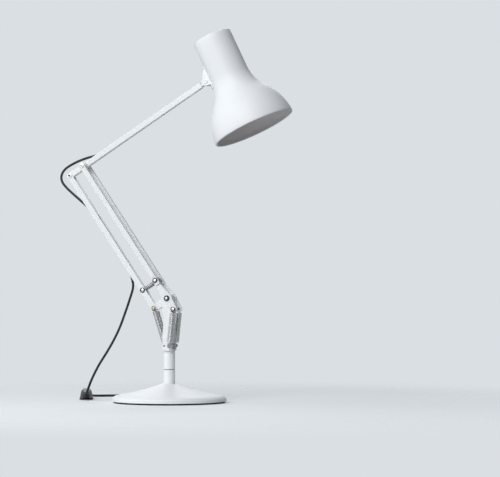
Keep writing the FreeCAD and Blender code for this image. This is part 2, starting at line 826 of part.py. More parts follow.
def tension_spring(low, high, low_side, high_side, low_pin, high_pin, coil, wire, curls):
    """Spring of one wire with an eye round the pin at each end."""
    low_eye = V(low.x, low_side, low.z)
    high_eye = V(high.x, high_side, high.z)
    span = (high_eye - low_eye).Length
    axis = (high_eye - low_eye).normalize()
    first = axis.cross(ACROSS).normalize()
    second = axis.cross(first)
    low_ring = low_pin + spring_eye_gap + wire / 2
    high_ring = high_pin + spring_eye_gap + wire / 2
    coil_low = low_ring + spring_lead + spring_rise
    coil_high = span - high_ring - spring_lead - spring_rise
    turns = curls + 0.5
    pitch = (coil_high - coil_low) / turns
    base = low_eye + axis * coil_low
    helix, begin, finish = helix_edges(base, axis, first, second, coil, pitch, spring_start_share,
                                       turns)

    def ring_point(centre, ring, degrees):
        angle = math.radians(degrees)
        return centre + first * (ring * math.cos(angle)) + axis * (ring * math.sin(angle))

    low_turn = ring_point(low_eye, low_ring, 0)
    low_lead = low_turn + axis * (low_ring + spring_lead)
    high_turn = ring_point(high_eye, high_ring, 0)
    high_lead = high_turn - axis * (high_ring + spring_lead)
    edges = [
        Part.Arc(ring_point(low_eye, low_ring, 90), ring_point(low_eye, low_ring, 135),
                 ring_point(low_eye, low_ring, 180)).toShape(),
        Part.Arc(ring_point(low_eye, low_ring, 180), ring_point(low_eye, low_ring, 270),
                 low_turn).toShape(),
        Part.LineSegment(low_turn, low_lead).toShape(),
    ]
    edges += two_arcs(low_lead, axis, begin[0], begin[1])
    edges += helix
    edges += two_arcs(finish[0], finish[1], high_lead, axis)
    edges += [
        Part.LineSegment(high_lead, high_turn).toShape(),
        Part.Arc(high_turn, ring_point(high_eye, high_ring, 90),
                 ring_point(high_eye, high_ring, 180)).toShape(),
        Part.Arc(ring_point(high_eye, high_ring, 180), ring_point(high_eye, high_ring, 225),
                 ring_point(high_eye, high_ring, 270)).toShape(),
    ]
    path = Part.Wire(edges)
    print(f"spring of {curls} curls: least gap {least_gap(Part.Wire(helix), wire):.2f}")
    return round_wire(path, wire / 2)


def make_springs():
    """Two springs on the crank pin and two on the tails of the lower arm."""
    rear = tension_spring(rear_anchor, link_low, link_spring_low_side, link_spring_high_side,
                          anchor_radius, link_pin_radius, link_spring_coil, link_spring_wire,
                          link_spring_curls)
    keep("link_springs", group([rear, mirrored(rear)]))
    front = tension_spring(front_anchor, arm_tail, arm_spring_side, arm_spring_side, anchor_radius,
                           tail_stud_radius, arm_spring_coil, arm_spring_wire, arm_spring_curls)
    keep("arm_springs", group([front, mirrored(front)]))


def make_brake_link():
    """Short steadying link between the spacer bolt and the rear link, with its spring."""
    eye_gap = (spacer_point - grip_point).Length
    low_eye = pin(ORIGIN, brake_eye_radius, -brake_eye_half, brake_eye_half)
    far_ring = spacer_sleeve_radius + running_gap + link_wall
    high_eye = pin(V(eye_gap, 0, 0), far_ring, -brake_eye_half, brake_eye_half)
    rod = Part.makeCylinder(brake_rod_radius, eye_gap, ORIGIN, V(1, 0, 0))
    body = low_eye.fuse([high_eye, rod]).removeSplitter()
    reach = 2 * brake_eye_half
    body = body.cut(pin(ORIGIN, grip_pin_radius + running_gap, -reach, reach))
    body = body.cut(pin(V(eye_gap, 0, 0), spacer_sleeve_radius + running_gap, -reach, reach))
    keep("brake_rod", on_link(body, grip_point, upper_rise))
    start = brake_eye_radius + side_gap + brake_wire
    end = eye_gap - far_ring - side_gap - brake_wire
    pitch = (end - start) / brake_curls
    helix, _, _ = helix_edges(V(start, 0, 0), V(1, 0, 0), ACROSS, UP, brake_coil_radius, pitch, 0,
                              brake_curls)
    path = Part.Wire(helix)
    print(f"brake spring: least gap {least_gap(path, brake_wire):.2f}")
    keep("brake_spring", on_link(round_wire(path, brake_wire / 2), grip_point, upper_rise))


def make_upper_arm():
    """Single box tube with its tail eye, bushes at the elbow and the plug in its far end."""
    half = upper_width / 2
    tube = box_section(-crank_length, upper_tube_end, upper_depth, -half, half, upper_corner)
    tail_eye = V(-crank_length, 0, 0)
    tube = tube.fuse(pin(tail_eye, upper_depth / 2, -half, half)).removeSplitter()
    hollow_half = upper_depth / 2 - upper_wall
    hollow_side = half - upper_wall
    tube = tube.cut(block(V(upper_hollow_start, -hollow_side, -hollow_half),
                          V(upper_tube_end + cut_over, hollow_side, hollow_half)))
    mouth = block(V(mouth_station, -lead_slot_width / 2, 0),
                  V(mouth_station + mouth_length, lead_slot_width / 2, upper_depth))
    tube = tube.cut(mouth)
    tube = tube.cut(pin(ORIGIN, elbow_axle_radius + running_gap, -half - cut_over, half + cut_over))
    tube = tube.cut(pin(tail_eye, link_pin_radius + running_gap, -half - cut_over, half + cut_over))
    keep("upper_tube", on_link(tube, elbow, upper_rise))

    bush = pin(ORIGIN, elbow_bush_radius, half, bar_inner - side_gap)
    bush = bush.cut(pin(ORIGIN, elbow_axle_radius + running_gap, half - cut_over, bar_inner + cut_over))
    placed = on_link(bush, elbow, upper_rise)
    keep("elbow_bushes", group([placed, mirrored(placed)]))

    plug_half = hollow_half - seat_gap
    plug_side = hollow_side - seat_gap
    plug = block(V(upper_tube_end - socket_length, -plug_side, -plug_half),
                 V(upper_tube_end, plug_side, plug_half))
    flange = box_section(upper_tube_end, upper_tube_end + socket_flange, upper_depth, -half, half,
                         upper_corner)
    plug = plug.fuse(flange).removeSplitter()
    bore = Part.makeCylinder(knuckle_spigot_radius + running_gap, upper_tube_end,
                             V(upper_tube_end - socket_length - cut_over, 0, 0), V(1, 0, 0))
    keep("arm_end_socket", on_link(plug.cut(bore), elbow, upper_rise))


def make_elbow_axle():
    """Bolt through the two bars and the upper arm, with its nut."""
    head_face = -(bar_outer + seat_gap)
    nut_face = -head_face
    shaft = pin(elbow, elbow_axle_radius, head_face, nut_face + nut_height)
    head = domed_head(elbow, elbow_head_radius, head_face, elbow_head_height)
    keep("elbow_bolt", shaft.fuse(head).removeSplitter())
    nut = hexagon(elbow, elbow_nut_radius, nut_face, nut_face + nut_height)
    keep("elbow_nut", nut.cut(pin(elbow, elbow_axle_radius, nut_face - cut_over,
                                  nut_face + nut_height + cut_over)))


def make_knuckle():
    """Knuckle that turns in the end of the upper arm and carries the shade on its eye."""
    eye = V(upper_length, 0, 0)
    half = lug_inner - side_gap
    spigot_start = upper_tube_end - socket_length + side_gap
    spigot = Part.makeCylinder(knuckle_spigot_radius, upper_length - spigot_start,
                               V(spigot_start, 0, 0), V(1, 0, 0))
    collar_start = upper_tube_end + socket_flange + side_gap
    collar = Part.makeCylinder(knuckle_collar_radius, upper_length - knuckle_radius / 2 - collar_start,
                               V(collar_start, 0, 0), V(1, 0, 0))
    cheeks = block(V(collar_start, -half, -knuckle_collar_radius),
                   V(upper_length, half, knuckle_collar_radius))
    ball = pin(eye, knuckle_radius, -half, half)
    body = spigot.fuse([cheeks.common(collar.fuse(ball)), collar.common(cheeks), ball]).removeSplitter()
    body = body.cut(pin(eye, tilt_axle_radius + running_gap, -half - cut_over, half + cut_over))
    keep("knuckle", on_link(body, elbow, upper_rise))


def shade_form(inset, mouth_run):
    """Filled shade inset from its outer face, upright with its cap at the top."""
    flare = math.radians(flare_angle)
    neck_low = V(neck_radius - inset, 0, -neck_length)
    rise_out = flare_radius * (1 - math.cos(flare))
    rise_down = flare_radius * math.sin(flare)
    bend = V(neck_radius + rise_out - inset * math.cos(flare), 0,
             -neck_length - rise_down - inset * math.sin(flare))
    run_out = mouth_radius - neck_radius - rise_out
    run_down = shade_length - neck_length - rise_down
    lip_angle = 2 * math.atan(run_out / run_down) - flare
    lip = V(mouth_radius - inset * math.cos(lip_angle), 0, -shade_length - inset * math.sin(lip_angle))
    flare_arc, heading = arc_end(neck_low, V(0, 0, -1), bend)
    bell_arc, last = arc_end(bend, heading, lip)
    mouth = lip + last * mouth_run
    cap_edge = V(neck_radius - inset, 0, -cap_round)
    cap_top = V(neck_radius - cap_round, 0, -inset)
    corner = (cap_round - inset) * (1 - math.sqrt(0.5))
    cap_middle = V(neck_radius - inset - corner, 0, -inset - corner)
    edges = [
        Part.LineSegment(V(0, 0, -inset), cap_top).toShape(),
        Part.Arc(cap_top, cap_middle, cap_edge).toShape(),
        Part.LineSegment(cap_edge, neck_low).toShape(),
        flare_arc,
        bell_arc,
    ]
    if mouth_run:
        edges.append(Part.LineSegment(lip, mouth).toShape())
    edges.append(Part.LineSegment(mouth, V(0, 0, mouth.z)).toShape())
    edges.append(Part.LineSegment(V(0, 0, mouth.z), V(0, 0, -inset)).toShape())
    return turned(edges)


def screw_line(station):
    """Centre of a bracket screw on the neck."""
    return V(-neck_radius - saddle_wall, 0, -station)


def make_shade():
    """Spun shade with the two screw holes of its bracket."""
    shell = shade_form(0, 0).cut(shade_form(shade_wall, cut_over))
    bead_radius = mouth_radius - lip_radius
    bead = Part.makeTorus(bead_radius, lip_radius, V(0, 0, -shade_length + lip_radius / 2), UP)
    shell = shell.fuse(bead).removeSplitter()
    for station in (saddle_high + saddle_screw_inset, saddle_low - saddle_screw_inset):
        start = screw_line(station)
        shell = shell.cut(Part.makeCylinder(saddle_screw_radius + running_gap, neck_radius / 2, start,
                                            V(1, 0, 0)))
    keep("shade", on_shade(shell))


def make_bracket():
    """Saddle on the neck with two lugs for the knuckle, its screws and the tilt bolt."""
    inner = neck_radius + running_gap
    shell = Part.makeCylinder(neck_radius + saddle_wall, saddle_low - saddle_high,
                              V(0, 0, -saddle_low), UP)
    shell = shell.cut(Part.makeCylinder(inner, saddle_low, V(0, 0, -saddle_low), UP))
    strip = block(V(-2 * neck_radius, -saddle_half, -saddle_low), V(0, saddle_half, -saddle_high))
    neck_room = shade_form(-running_gap, cut_over)
    saddle = shell.common(strip).cut(neck_room)
    pivot = V(-pivot_offset, 0, -pivot_station)
    root = V(-neck_radius + lug_radius / 2, 0, -pivot_station)
    fin_tip = V(-neck_radius - fin_tip_offset, 0, fin_reach - pivot_station)
    for side in (-1, 1):
        faces = sorted((side * lug_inner, side * saddle_half))
        lug = hull_plate(pivot, lug_radius, root, lug_radius + saddle_wall, faces[0], faces[1])
        fin = hull_plate(pivot, fin_radius, fin_tip, fin_tip_radius, faces[0], faces[1])
        saddle = saddle.fuse(lug.fuse(fin).removeSplitter().cut(neck_room))
    saddle = saddle.removeSplitter()
    saddle = saddle.cut(pin(pivot, tilt_axle_radius, -saddle_half - cut_over, saddle_half + cut_over))
    screws = []
    for station in (saddle_high + saddle_screw_inset, saddle_low - saddle_screw_inset):
        start = screw_line(station)
        saddle = saddle.cut(Part.makeCylinder(saddle_screw_radius + running_gap, neck_radius,
                                              start - V(cut_over, 0, 0), V(1, 0, 0)))
        reach = saddle_wall + shade_wall + 2 * saddle_wall
        shank = Part.makeCylinder(saddle_screw_radius, reach, start, V(1, 0, 0))
        head = Part.makeCylinder(saddle_screw_head_radius, saddle_screw_head_height,
                                 start - V(saddle_screw_head_height, 0, 0), V(1, 0, 0))
        screws.append(on_shade(shank.fuse(head).removeSplitter()))
    keep("shade_bracket", on_shade(saddle))
    keep("bracket_screws", group(screws))
    head_face = -saddle_half - seat_gap
    shaft = pin(shade_pivot, tilt_axle_radius, head_face, saddle_half + knob_height)
    head = domed_head(shade_pivot, tilt_head_radius, head_face, tilt_head_height)
    keep("tilt_bolt", shaft.fuse(head).removeSplitter())
    knob_face = saddle_half + seat_gap
    knob = pin(shade_pivot, knob_radius, knob_face, knob_face + knob_height)
    for step in range(knob_scallops):
        angle = 360 * step / knob_scallops
        scallop = along(shade_pivot, angle, knob_radius)
        knob = knob.cut(pin(scallop, knob_scallop_radius, knob_face - cut_over,
                            knob_face + knob_height + cut_over))
    knob = knob.cut(pin(shade_pivot, tilt_axle_radius, knob_face - cut_over, saddle_half + knob_height))
    keep("tilt_knob", knob)


def make_holder():
    """Carrier ring, lamp holder and bulb."""
    outer = neck_radius - shade_wall - seat_gap
    carrier = Part.makeCylinder(outer, saddle_low - saddle_high, V(0, 0, -saddle_low), UP)
    bore = Part.makeCylinder(holder_radius + running_gap, saddle_low, V(0, 0, -saddle_low), UP)
    carrier = carrier.cut(bore)
    room_radius = outer - carrier_wall
    room_below = Part.makeCylinder(room_radius, saddle_low - carrier_web_low, V(0, 0, -saddle_low), UP)
    room_above = Part.makeCylinder(room_radius, carrier_web_high, V(0, 0, -carrier_web_high), UP)
    carrier = carrier.cut(room_below).cut(room_above)
    for station in (saddle_high + saddle_screw_inset, saddle_low - saddle_screw_inset):
        hole = Part.makeCylinder(saddle_screw_radius + running_gap, neck_radius, screw_line(station),
                                 V(1, 0, 0))
        carrier = carrier.cut(hole)
    keep("holder_carrier", on_shade(carrier))
    body = Part.makeCylinder(holder_radius, holder_low - holder_high, V(0, 0, -holder_low), UP)
    flange = Part.makeCylinder(holder_radius + holder_flange, holder_flange_height,
                               V(0, 0, -carrier_web_high + seat_gap), UP)
    body = body.fuse(flange).removeSplitter()
    socket = Part.makeCylinder(cap_radius + running_gap, holder_low - cap_high + seat_gap,
                               V(0, 0, -holder_low), UP)
    keep("lamp_holder", on_shade(body.cut(socket)))
    cap = Part.makeCylinder(cap_radius, bulb_neck_station - cap_high, V(0, 0, -bulb_neck_station), UP)
    keep("bulb_cap", on_shade(cap))
    globe_centre = V(0, 0, -bulb_station)
    globe = Part.makeSphere(bulb_radius, globe_centre)
    neck_drop = bulb_radius * bulb_shoulder_drop_share
    neck = Part.makeCone(bulb_radius * bulb_shoulder_share, bulb_neck_radius,
                         bulb_station - bulb_neck_station - neck_drop,
                         V(0, 0, neck_drop - bulb_station), UP)
    keep("bulb", on_shade(globe.fuse(neck).removeSplitter()))


def make_held_lead():
    """Lead inside the arms and the loop that it makes behind the elbow."""
    held = along(elbow, upper_rise, lead_held_station)
    bend = along(elbow, upper_rise, lead_bend_station)
    run = upper_tube_end - socket_length - side_gap - lead_held_station
    keep("lead_upper", Part.makeCylinder(lead_radius, run, held, held - bend))
    keep("lead_elbow", lead_tube("elbow loop", (tuple(held), tuple(bend)) + elbow_route))
    link_start = V(*elbow_route[-1])
    link_end = V(*drop_route[0])
    enter = link_start + (link_start - V(*elbow_route[-2])).normalize() * link_entry_run
    leave = link_end - (V(*drop_route[1]) - link_end).normalize() * link_outlet_run
    held_route = (tuple(link_start), tuple(enter), tuple(leave), tuple(link_end))
    keep("lead_link", lead_tube("lead in link", held_route))


def rounded_section(place, wide, tall, middle, corner):
    """Rounded rectangle across +X, at a height."""
    half_wide = wide / 2
    half_tall = tall / 2
    edges = []
    for turn in range(4):
        angle = math.pi / 2 * turn
        along_y, along_z = math.cos(angle), math.sin(angle)
        reach, height = (half_wide, half_tall) if turn % 2 == 0 else (half_tall, half_wide)
        bend = corner * (1 - math.sqrt(0.5))

        def spot(out, side):
            return V(place, out * along_y - side * along_z, middle + out * along_z + side * along_y)

        edges.append(Part.LineSegment(spot(reach, corner - height), spot(reach, height - corner)).toShape())
        edges.append(Part.Arc(spot(reach, height - corner), spot(reach - bend, height - bend),
                              spot(reach - corner, height)).toShape())
    return Part.Wire(edges)


def lofted_case(sections, middle):
    """Case along +X through (place, width, height, corner radius) sections."""
    wires = [rounded_section(place, wide, tall, middle, corner) for place, wide, tall, corner in sections]
    return Part.makeLoft(wires, True, True)


def on_floor(shape, turn, start):
    """Turns a piece drawn along +X about +Z and sets its middle on the floor at a place."""
    placed = shape.copy()
    placed.rotate(ORIGIN, UP, turn)
    placed.translate(V(start.x, start.y, 0))
    return placed


def make_switch():
    """Switch in the lead: two case halves and a rocker."""
    middle = (V(*drop_route[-1]) + V(*floor_route[0])) * 0.5
    end = switch_length / 2
    case = lofted_case((
        (-end, switch_end_width, switch_end_height, switch_round),
        (switch_taper - end, switch_width, switch_height, switch_round * 2),
        (end - switch_taper, switch_width, switch_height, switch_round * 2),
        (end, switch_end_width, switch_end_height, switch_round),
    ), switch_height / 2)
    pocket = block(V(-pocket_length / 2, -pocket_width / 2, switch_height - pocket_depth),
                   V(pocket_length / 2, pocket_width / 2, switch_height + cut_over))
    pivot = V(0, 0, switch_height - rocker_pivot_depth)
    trunnion_end = rocker_width / 2 + trunnion_length
    pocket = pocket.fuse(pin(pivot, trunnion_radius + running_gap, -trunnion_end - seat_gap,
                             trunnion_end + seat_gap))
    parting = switch_height / 2
    far_reach = switch_length
    lower_room = block(V(-far_reach, -far_reach, 0), V(far_reach, far_reach, parting))
    upper_room = block(V(-far_reach, -far_reach, parting), V(far_reach, far_reach, far_reach))
    keep("switch_case_lower", on_floor(case.common(lower_room), switch_turn, middle))
    keep("switch_case_upper", on_floor(case.common(upper_room).cut(pocket), switch_turn, middle))
    half = rocker_length / 2
    side = rocker_width / 2
    profile = Part.makePolygon([
        V(-half, -side, pivot.z),
        V(0, -side, pivot.z - rocker_keel),
        V(half, -side, pivot.z),
        V(half, -side, pivot.z + rocker_crown),
        V(0, -side, pivot.z + rocker_crown - rocker_dip),
        V(-half, -side, pivot.z + rocker_crown),
        V(-half, -side, pivot.z),
    ])
    rocker = Part.Face(profile).extrude(V(0, rocker_width, 0))
    rocker = rocker.fuse(pin(pivot, trunnion_radius, -trunnion_end, trunnion_end)).removeSplitter()
    rocker.rotate(pivot, ACROSS, -rocker_tilt)
    keep("switch_rocker", on_floor(rocker, switch_turn, middle))
    print(f"rocker pivot: {middle.x:.3f}, {middle.y:.3f}, {pivot.z:.3f}")


def make_plug():
    """Two-pin plug on the floor behind the coil."""
    rear = V(*tail_route[-1])
    middle = plug_height / 2
    body = lofted_case((
        (0, plug_tail_width, plug_tail_height, plug_round),
        (plug_neck, plug_width, plug_height, plug_round * 2),
        (plug_length, plug_width, plug_height, plug_round * 2),
    ), middle)
    prongs = []
    for side in (-1, 1):
        prong = Part.makeCylinder(prong_radius, prong_length, V(plug_length, side * prong_spread, middle),
                                  V(1, 0, 0))
        prongs.append(on_floor(prong, plug_turn, rear))
    keep("plug_body", on_floor(body, plug_turn, rear))
    keep("plug_prongs", group(prongs))


def coil_path():
    """Spare lead in loops that spiral in and out again, a layer higher at each reversal."""
    steps = 2 * coil_turns_per_layer
    radius = coil_outer
    height = lead_radius
    inward = True
    travelled = 0
    places = [(radius, height)]
    climbs = []
    for half in range(coil_half_turns):
        climbing = travelled == steps
        climbs.append(climbing)
        if climbing:
            height += coil_rise
            inward = not inward
            travelled = 0
        else:
            radius += (-coil_pitch if inward else coil_pitch) / 2
            travelled += 1
        places.append((radius, height))
    edges = []
    for half, climbing in enumerate(climbs):
        side = 1 if half % 2 == 0 else -1
        radius, height = places[half]
        next_radius, next_height = places[half + 1]
        start = V(coil_x, coil_y + side * radius, height)
        end = V(coil_x, coil_y - side * next_radius, next_height)
        if climbing:
            edges += two_arcs(start, V(side, 0, 0), end, V(-side, 0, 0))
        else:
            centre_y = (start.y + end.y) / 2
            top = V(coil_x + side * (radius + next_radius) / 2, centre_y, height)
            edges.append(Part.Arc(start, top, end).toShape())
    last_radius, last_height = places[-1]
    side = 1 if coil_half_turns % 2 == 0 else -1
    start = V(coil_x, coil_y + side * last_radius, last_height)
    reach = last_radius + coil_pitch / 4
    centre = start - V(0, side * reach, 0)
    turn = side * math.sqrt(0.5) * reach
    quarter = centre + V(side * reach, 0, 0)
    edges.append(Part.Arc(start, centre + V(turn, turn, 0), quarter).toShape())
    return Part.Wire(edges), V(coil_x, coil_y + coil_outer, lead_radius), quarter


def make_free_lead():
    """Free lead: the hanging drop, the run on the floor, the coil and the tail to the plug."""
    keep("cord_drop", lead_tube("drop", drop_route))
    path, start, end = coil_path()
    print(f"coil: length {path.Length:.1f}, least gap {least_gap(path, lead_diameter):.2f}")
    print(f"coil ends at {end.x:.2f}, {end.y:.2f}, {end.z:.2f}")
    keep("cord_coil", round_wire(path, lead_radius))
    keep("cord_floor", lead_tube("floor run", floor_route + (tuple(start),)))
    keep("cord_tail", lead_tube("tail", (tuple(end),) + tail_route))


make_foot()
make_stem()
make_post()
make_fork()
make_lower_arm()
make_shoulder_axle()
make_crank()
make_rear_link()
make_tail_axle()
make_spacer_axle()
make_springs()
make_brake_link()
make_upper_arm()
make_elbow_axle()
make_knuckle()
make_shade()
make_bracket()
make_holder()
make_held_lead()
make_switch()
make_plug()
make_free_lead()

os.makedirs("parts", exist_ok=True)
for name, shape in pieces.items():
    shape.exportStep(f"parts/{name}.step")
    state = "valid" if shape.isValid() else "NOT VALID"
    print(f"{name}: {len(shape.Solids)} solids, {state}, volume {shape.Volume:.1f}")
for name, point in (("shoulder", shoulder), ("elbow", elbow), ("link_low", link_low),
                    ("link_high", link_high), ("spacer_point", spacer_point), ("grip_point", grip_point),
                    ("arm_tail", arm_tail), ("shade_pivot", shade_pivot)):
    print(f"{name}: {point.x:.3f}, {point.y:.3f}, {point.z:.3f}")
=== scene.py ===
import json
import logging
import math
from contextlib import contextmanager
from dataclasses import dataclass
from enum import Enum
from typing import Any, ClassVar, Iterator, Sequence

import bpy
from mathutils import Matrix, Vector

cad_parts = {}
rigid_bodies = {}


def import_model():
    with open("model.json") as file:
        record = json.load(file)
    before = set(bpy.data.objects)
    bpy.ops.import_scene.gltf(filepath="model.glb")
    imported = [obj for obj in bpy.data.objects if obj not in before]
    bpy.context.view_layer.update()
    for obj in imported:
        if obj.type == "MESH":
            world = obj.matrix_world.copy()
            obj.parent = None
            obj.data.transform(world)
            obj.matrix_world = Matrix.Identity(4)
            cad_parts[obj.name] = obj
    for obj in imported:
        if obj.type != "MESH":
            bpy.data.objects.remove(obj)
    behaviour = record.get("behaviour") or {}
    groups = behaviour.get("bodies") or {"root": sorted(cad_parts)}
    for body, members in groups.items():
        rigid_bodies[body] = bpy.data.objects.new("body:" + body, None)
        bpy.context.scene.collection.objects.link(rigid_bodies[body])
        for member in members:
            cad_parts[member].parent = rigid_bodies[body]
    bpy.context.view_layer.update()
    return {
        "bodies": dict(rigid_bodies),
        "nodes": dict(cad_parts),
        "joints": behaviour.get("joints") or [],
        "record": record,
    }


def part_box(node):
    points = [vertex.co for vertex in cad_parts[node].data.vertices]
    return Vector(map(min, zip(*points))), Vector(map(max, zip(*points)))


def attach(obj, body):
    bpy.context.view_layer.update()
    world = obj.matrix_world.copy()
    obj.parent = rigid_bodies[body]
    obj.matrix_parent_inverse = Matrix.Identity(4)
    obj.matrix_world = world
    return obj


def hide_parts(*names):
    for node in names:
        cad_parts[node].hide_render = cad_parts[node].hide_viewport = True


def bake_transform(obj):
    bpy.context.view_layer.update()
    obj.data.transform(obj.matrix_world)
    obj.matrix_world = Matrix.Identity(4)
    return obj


LOG = logging.getLogger("architect_lamp")

Point = tuple[float, float, float]
Profile = Sequence[tuple[float, float]]

MM = 0.001
LEAD_DIAMETER = 3.2 * MM
ACROSS = Vector((0.0, 1.0, 0.0))
MERGE_MM = 0.004
CAD_MERGE_MM = 0.002
CAD_FLAT_DEG = 0.6

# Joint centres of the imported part, in millimetres
SHOULDER: Point = (0.0, 0.0, 136.6)
ELBOW: Point = (-116.517, 0.0, 311.310)
CRANK_PIN: Point = (-19.709, 0.0, 123.801)
ARM_TAIL: Point = (9.432, 0.0, 122.457)
SPACER: Point = (-15.536, 0.0, 159.895)
GRIP_PIN: Point = (-35.244, 0.0, 147.096)
LINK_TOP: Point = (-136.226, 0.0, 298.511)
SHADE_PIVOT: Point = (50.378, 0.0, 419.694)
REAR_ANCHOR: Point = (-4.3, 0.0, 74.4)
FRONT_ANCHOR: Point = (4.3, 0.0, 74.4)
UPPER_RISE = math.radians(33.0)
SHADE_LEAN = math.radians(25.5)

# The noise that all finishes share, and the band of it that the gloss follows
MOTTLE_DETAIL = 3.0
GRAIN_DETAIL = 4.0
GRAIN_ROUGHNESS = 0.55
GRAIN_BAND = (0.3, 0.7)
LEAST_ROUGHNESS = 0.03
SCATTER = (1.0, 0.9, 0.8)


def metres(place: Point) -> Vector:
    """Turns a place in millimetres into metres."""
    return Vector(place) * MM


def srgb(code: str, alpha: float = 1.0) -> tuple[float, float, float, float]:
    """Turns an sRGB hex colour into the linear one that shaders take.

    Args:
        code: Six hex digits.
        alpha: Opacity.

    Returns:
        Linear red, green, blue and alpha.
    """
    parts = [int(code[i:i + 2], 16) / 255 for i in (0, 2, 4)]
    linear = [p / 12.92 if p <= 0.04045 else ((p + 0.055) / 1.055) ** 2.4 for p in parts]
    return (linear[0], linear[1], linear[2], alpha)


def fresh_tree(owner: bpy.types.Material | bpy.types.World) -> bpy.types.NodeTree:
    """Gives a material or a world an empty node tree."""
    owner.use_nodes = True
    owner.node_tree.nodes.clear()
    return owner.node_tree


def add_node(tree: bpy.types.NodeTree, kind: str, settings: dict[str, Any] | None = None,
             values: dict[Any, Any] | None = None,
             links: dict[Any, Any] | None = None) -> bpy.types.Node:
    """Adds one shader node.

    Args:
        tree: Node tree of the material or world.
        kind: Blender's type name of the node.
        settings: Attributes of the node.
        values: Input sockets and the values that they hold.
        links: Input sockets and the output sockets that feed them.

    Returns:
        The new node.
    """
    node = tree.nodes.new(kind)
    for name, value in (settings or {}).items():
        setattr(node, name, value)
    for socket, value in (values or {}).items():
        node.inputs[socket].default_value = value
    for socket, source in (links or {}).items():
        tree.links.new(source, node.inputs[socket])
    return node


@dataclass(frozen=True)
class Finish:
    """One real material and the way its surface was made."""

    name: str
    colour: str
    roughness: float
    metallic: float = 0.0
    ior: float = 1.5
    grain_mm: float = 0.9
    grain_height: float = 0.02
    grain_strength: float = 0.15
    mottle: float = 0.02
    mottle_mm: float = 14.0
    roughness_swing: float = 0.05
    coat: float = 0.0
    coat_roughness: float = 0.1
    subsurface: float = 0.0
    subsurface_mm: float = 1.0
    stretch: Point = (1.0, 1.0, 1.0)

    def noise(self, tree: bpy.types.NodeTree, size_mm: float, **values: float) -> bpy.types.Node:
        """Adds a noise of one size in the object's own space."""
        coords = add_node(tree, "ShaderNodeTexCoord")
        mapping = add_node(tree, "ShaderNodeMapping", values={"Scale": self.stretch},
                           links={"Vector": coords.outputs["Object"]})
        return add_node(tree, "ShaderNodeTexNoise", values={"Scale": 1 / (size_mm * MM), **values},
                        links={"Vector": mapping.outputs["Vector"]})

    def build(self) -> bpy.types.Material:
        """Builds the node material.

        Returns:
            The material, made once and then found again by its name.
        """
        found = bpy.data.materials.get(self.name)
        if found:
            return found
        material = bpy.data.materials.new(self.name)
        tree = fresh_tree(material)
        mottle = self.noise(tree, self.mottle_mm, Detail=MOTTLE_DETAIL)
        grain = self.noise(tree, self.grain_mm, Detail=GRAIN_DETAIL, Roughness=GRAIN_ROUGHNESS)
        base = srgb(self.colour)
        dark = (*(c * (1 - self.mottle) for c in base[:3]), 1.0)
        light = (*(min(1.0, c * (1 + self.mottle)) for c in base[:3]), 1.0)
        tint = add_node(tree, "ShaderNodeMix", settings={"data_type": "RGBA"},
                        values={6: dark, 7: light}, links={0: mottle.outputs["Fac"]})
        gloss = add_node(tree, "ShaderNodeMapRange",
                         values={"From Min": GRAIN_BAND[0], "From Max": GRAIN_BAND[1],
                                 "To Min": max(LEAST_ROUGHNESS,
                                               self.roughness - self.roughness_swing),
                                 "To Max": self.roughness + self.roughness_swing},
                         links={"Value": grain.outputs["Fac"]})
        bump = add_node(tree, "ShaderNodeBump",
                        values={"Strength": self.grain_strength,
                                "Distance": self.grain_height * MM},
                        links={"Height": grain.outputs["Fac"]})
        values: dict[Any, Any] = {
            "Metallic": self.metallic, "Coat Weight": self.coat,
            "Coat Roughness": self.coat_roughness, "Subsurface Weight": self.subsurface,
            "Subsurface Radius": SCATTER, "Subsurface Scale": self.subsurface_mm * MM}
        if self.metallic < 1:
            values["IOR"] = self.ior
        shader = add_node(tree, "ShaderNodeBsdfPrincipled", values=values,
                          links={"Base Color": tint.outputs[2],
                                 "Roughness": gloss.outputs["Result"],
                                 "Normal": bump.outputs["Normal"]})
        add_node(tree, "ShaderNodeOutputMaterial", links={"Surface": shader.outputs["BSDF"]})
        return material


def metal(name: str, colour: str, roughness: float, **rest: Any) -> Finish:
    """Makes the finish of a bare metal."""
    return Finish(name, colour, roughness, metallic=1.0, **rest)


# Polyester powder baked on steel: a soft satin with the faint orange peel that powder leaves
POWDER_WHITE = Finish("powder_coat_white", "EFF1F2", 0.52, grain_mm=2.2, grain_strength=0.10,
                      mottle=0.006, roughness_swing=0.03)
# The same coat sprayed inside the spun shade, flatter and a little warmer
LINING_WHITE = Finish("powder_coat_lining", "EDE9E8", 0.60, grain_mm=1.6, grain_strength=0.1)
# Grey iron as it leaves the sand mould, under the cover
CAST_IRON = Finish("cast_iron_sand_mould", "3B3B3D", 0.75, metallic=0.6, grain_mm=1.1,
                   grain_height=0.2, grain_strength=0.6, mottle=0.15)
# Moulded nitrile with a matt, slightly dusty face that drinks the light under the foot
PAD_RUBBER = Finish("nitrile_rubber_pad", "0C0C0E", 0.78, ior=1.52, grain_mm=0.7,
                    grain_height=0.05, grain_strength=0.4, mottle=0.12)
# Zinc-plated steel: bluish, cloudy and a little dull
ZINC_STEEL = metal("zinc_plated_steel", "8E9196", 0.34, grain_mm=0.8, grain_strength=0.2,
                   mottle=0.10, mottle_mm=3.0, roughness_swing=0.08)
# Nickel-plated turned steel: warm and bright, with the lathe's fine marks across
NICKEL_STEEL = metal("nickel_plated_steel", "A9A6A0", 0.24, grain_mm=0.5, mottle=0.05,
                     mottle_mm=2.0, stretch=(1.0, 0.25, 1.0))
# Drawn spring wire, bright along its length and darker between the curls
SPRING_WIRE = metal("drawn_spring_wire", "C2C2C1", 0.27, grain_mm=0.35, mottle=0.08, mottle_mm=1.5)
# Oil-tempered spring steel of the small steadying spring, a flat mid grey
TEMPERED_WIRE = metal("oil_tempered_wire", "B4B4B6", 0.36, grain_mm=0.35, mottle=0.12,
                      mottle_mm=1.5)
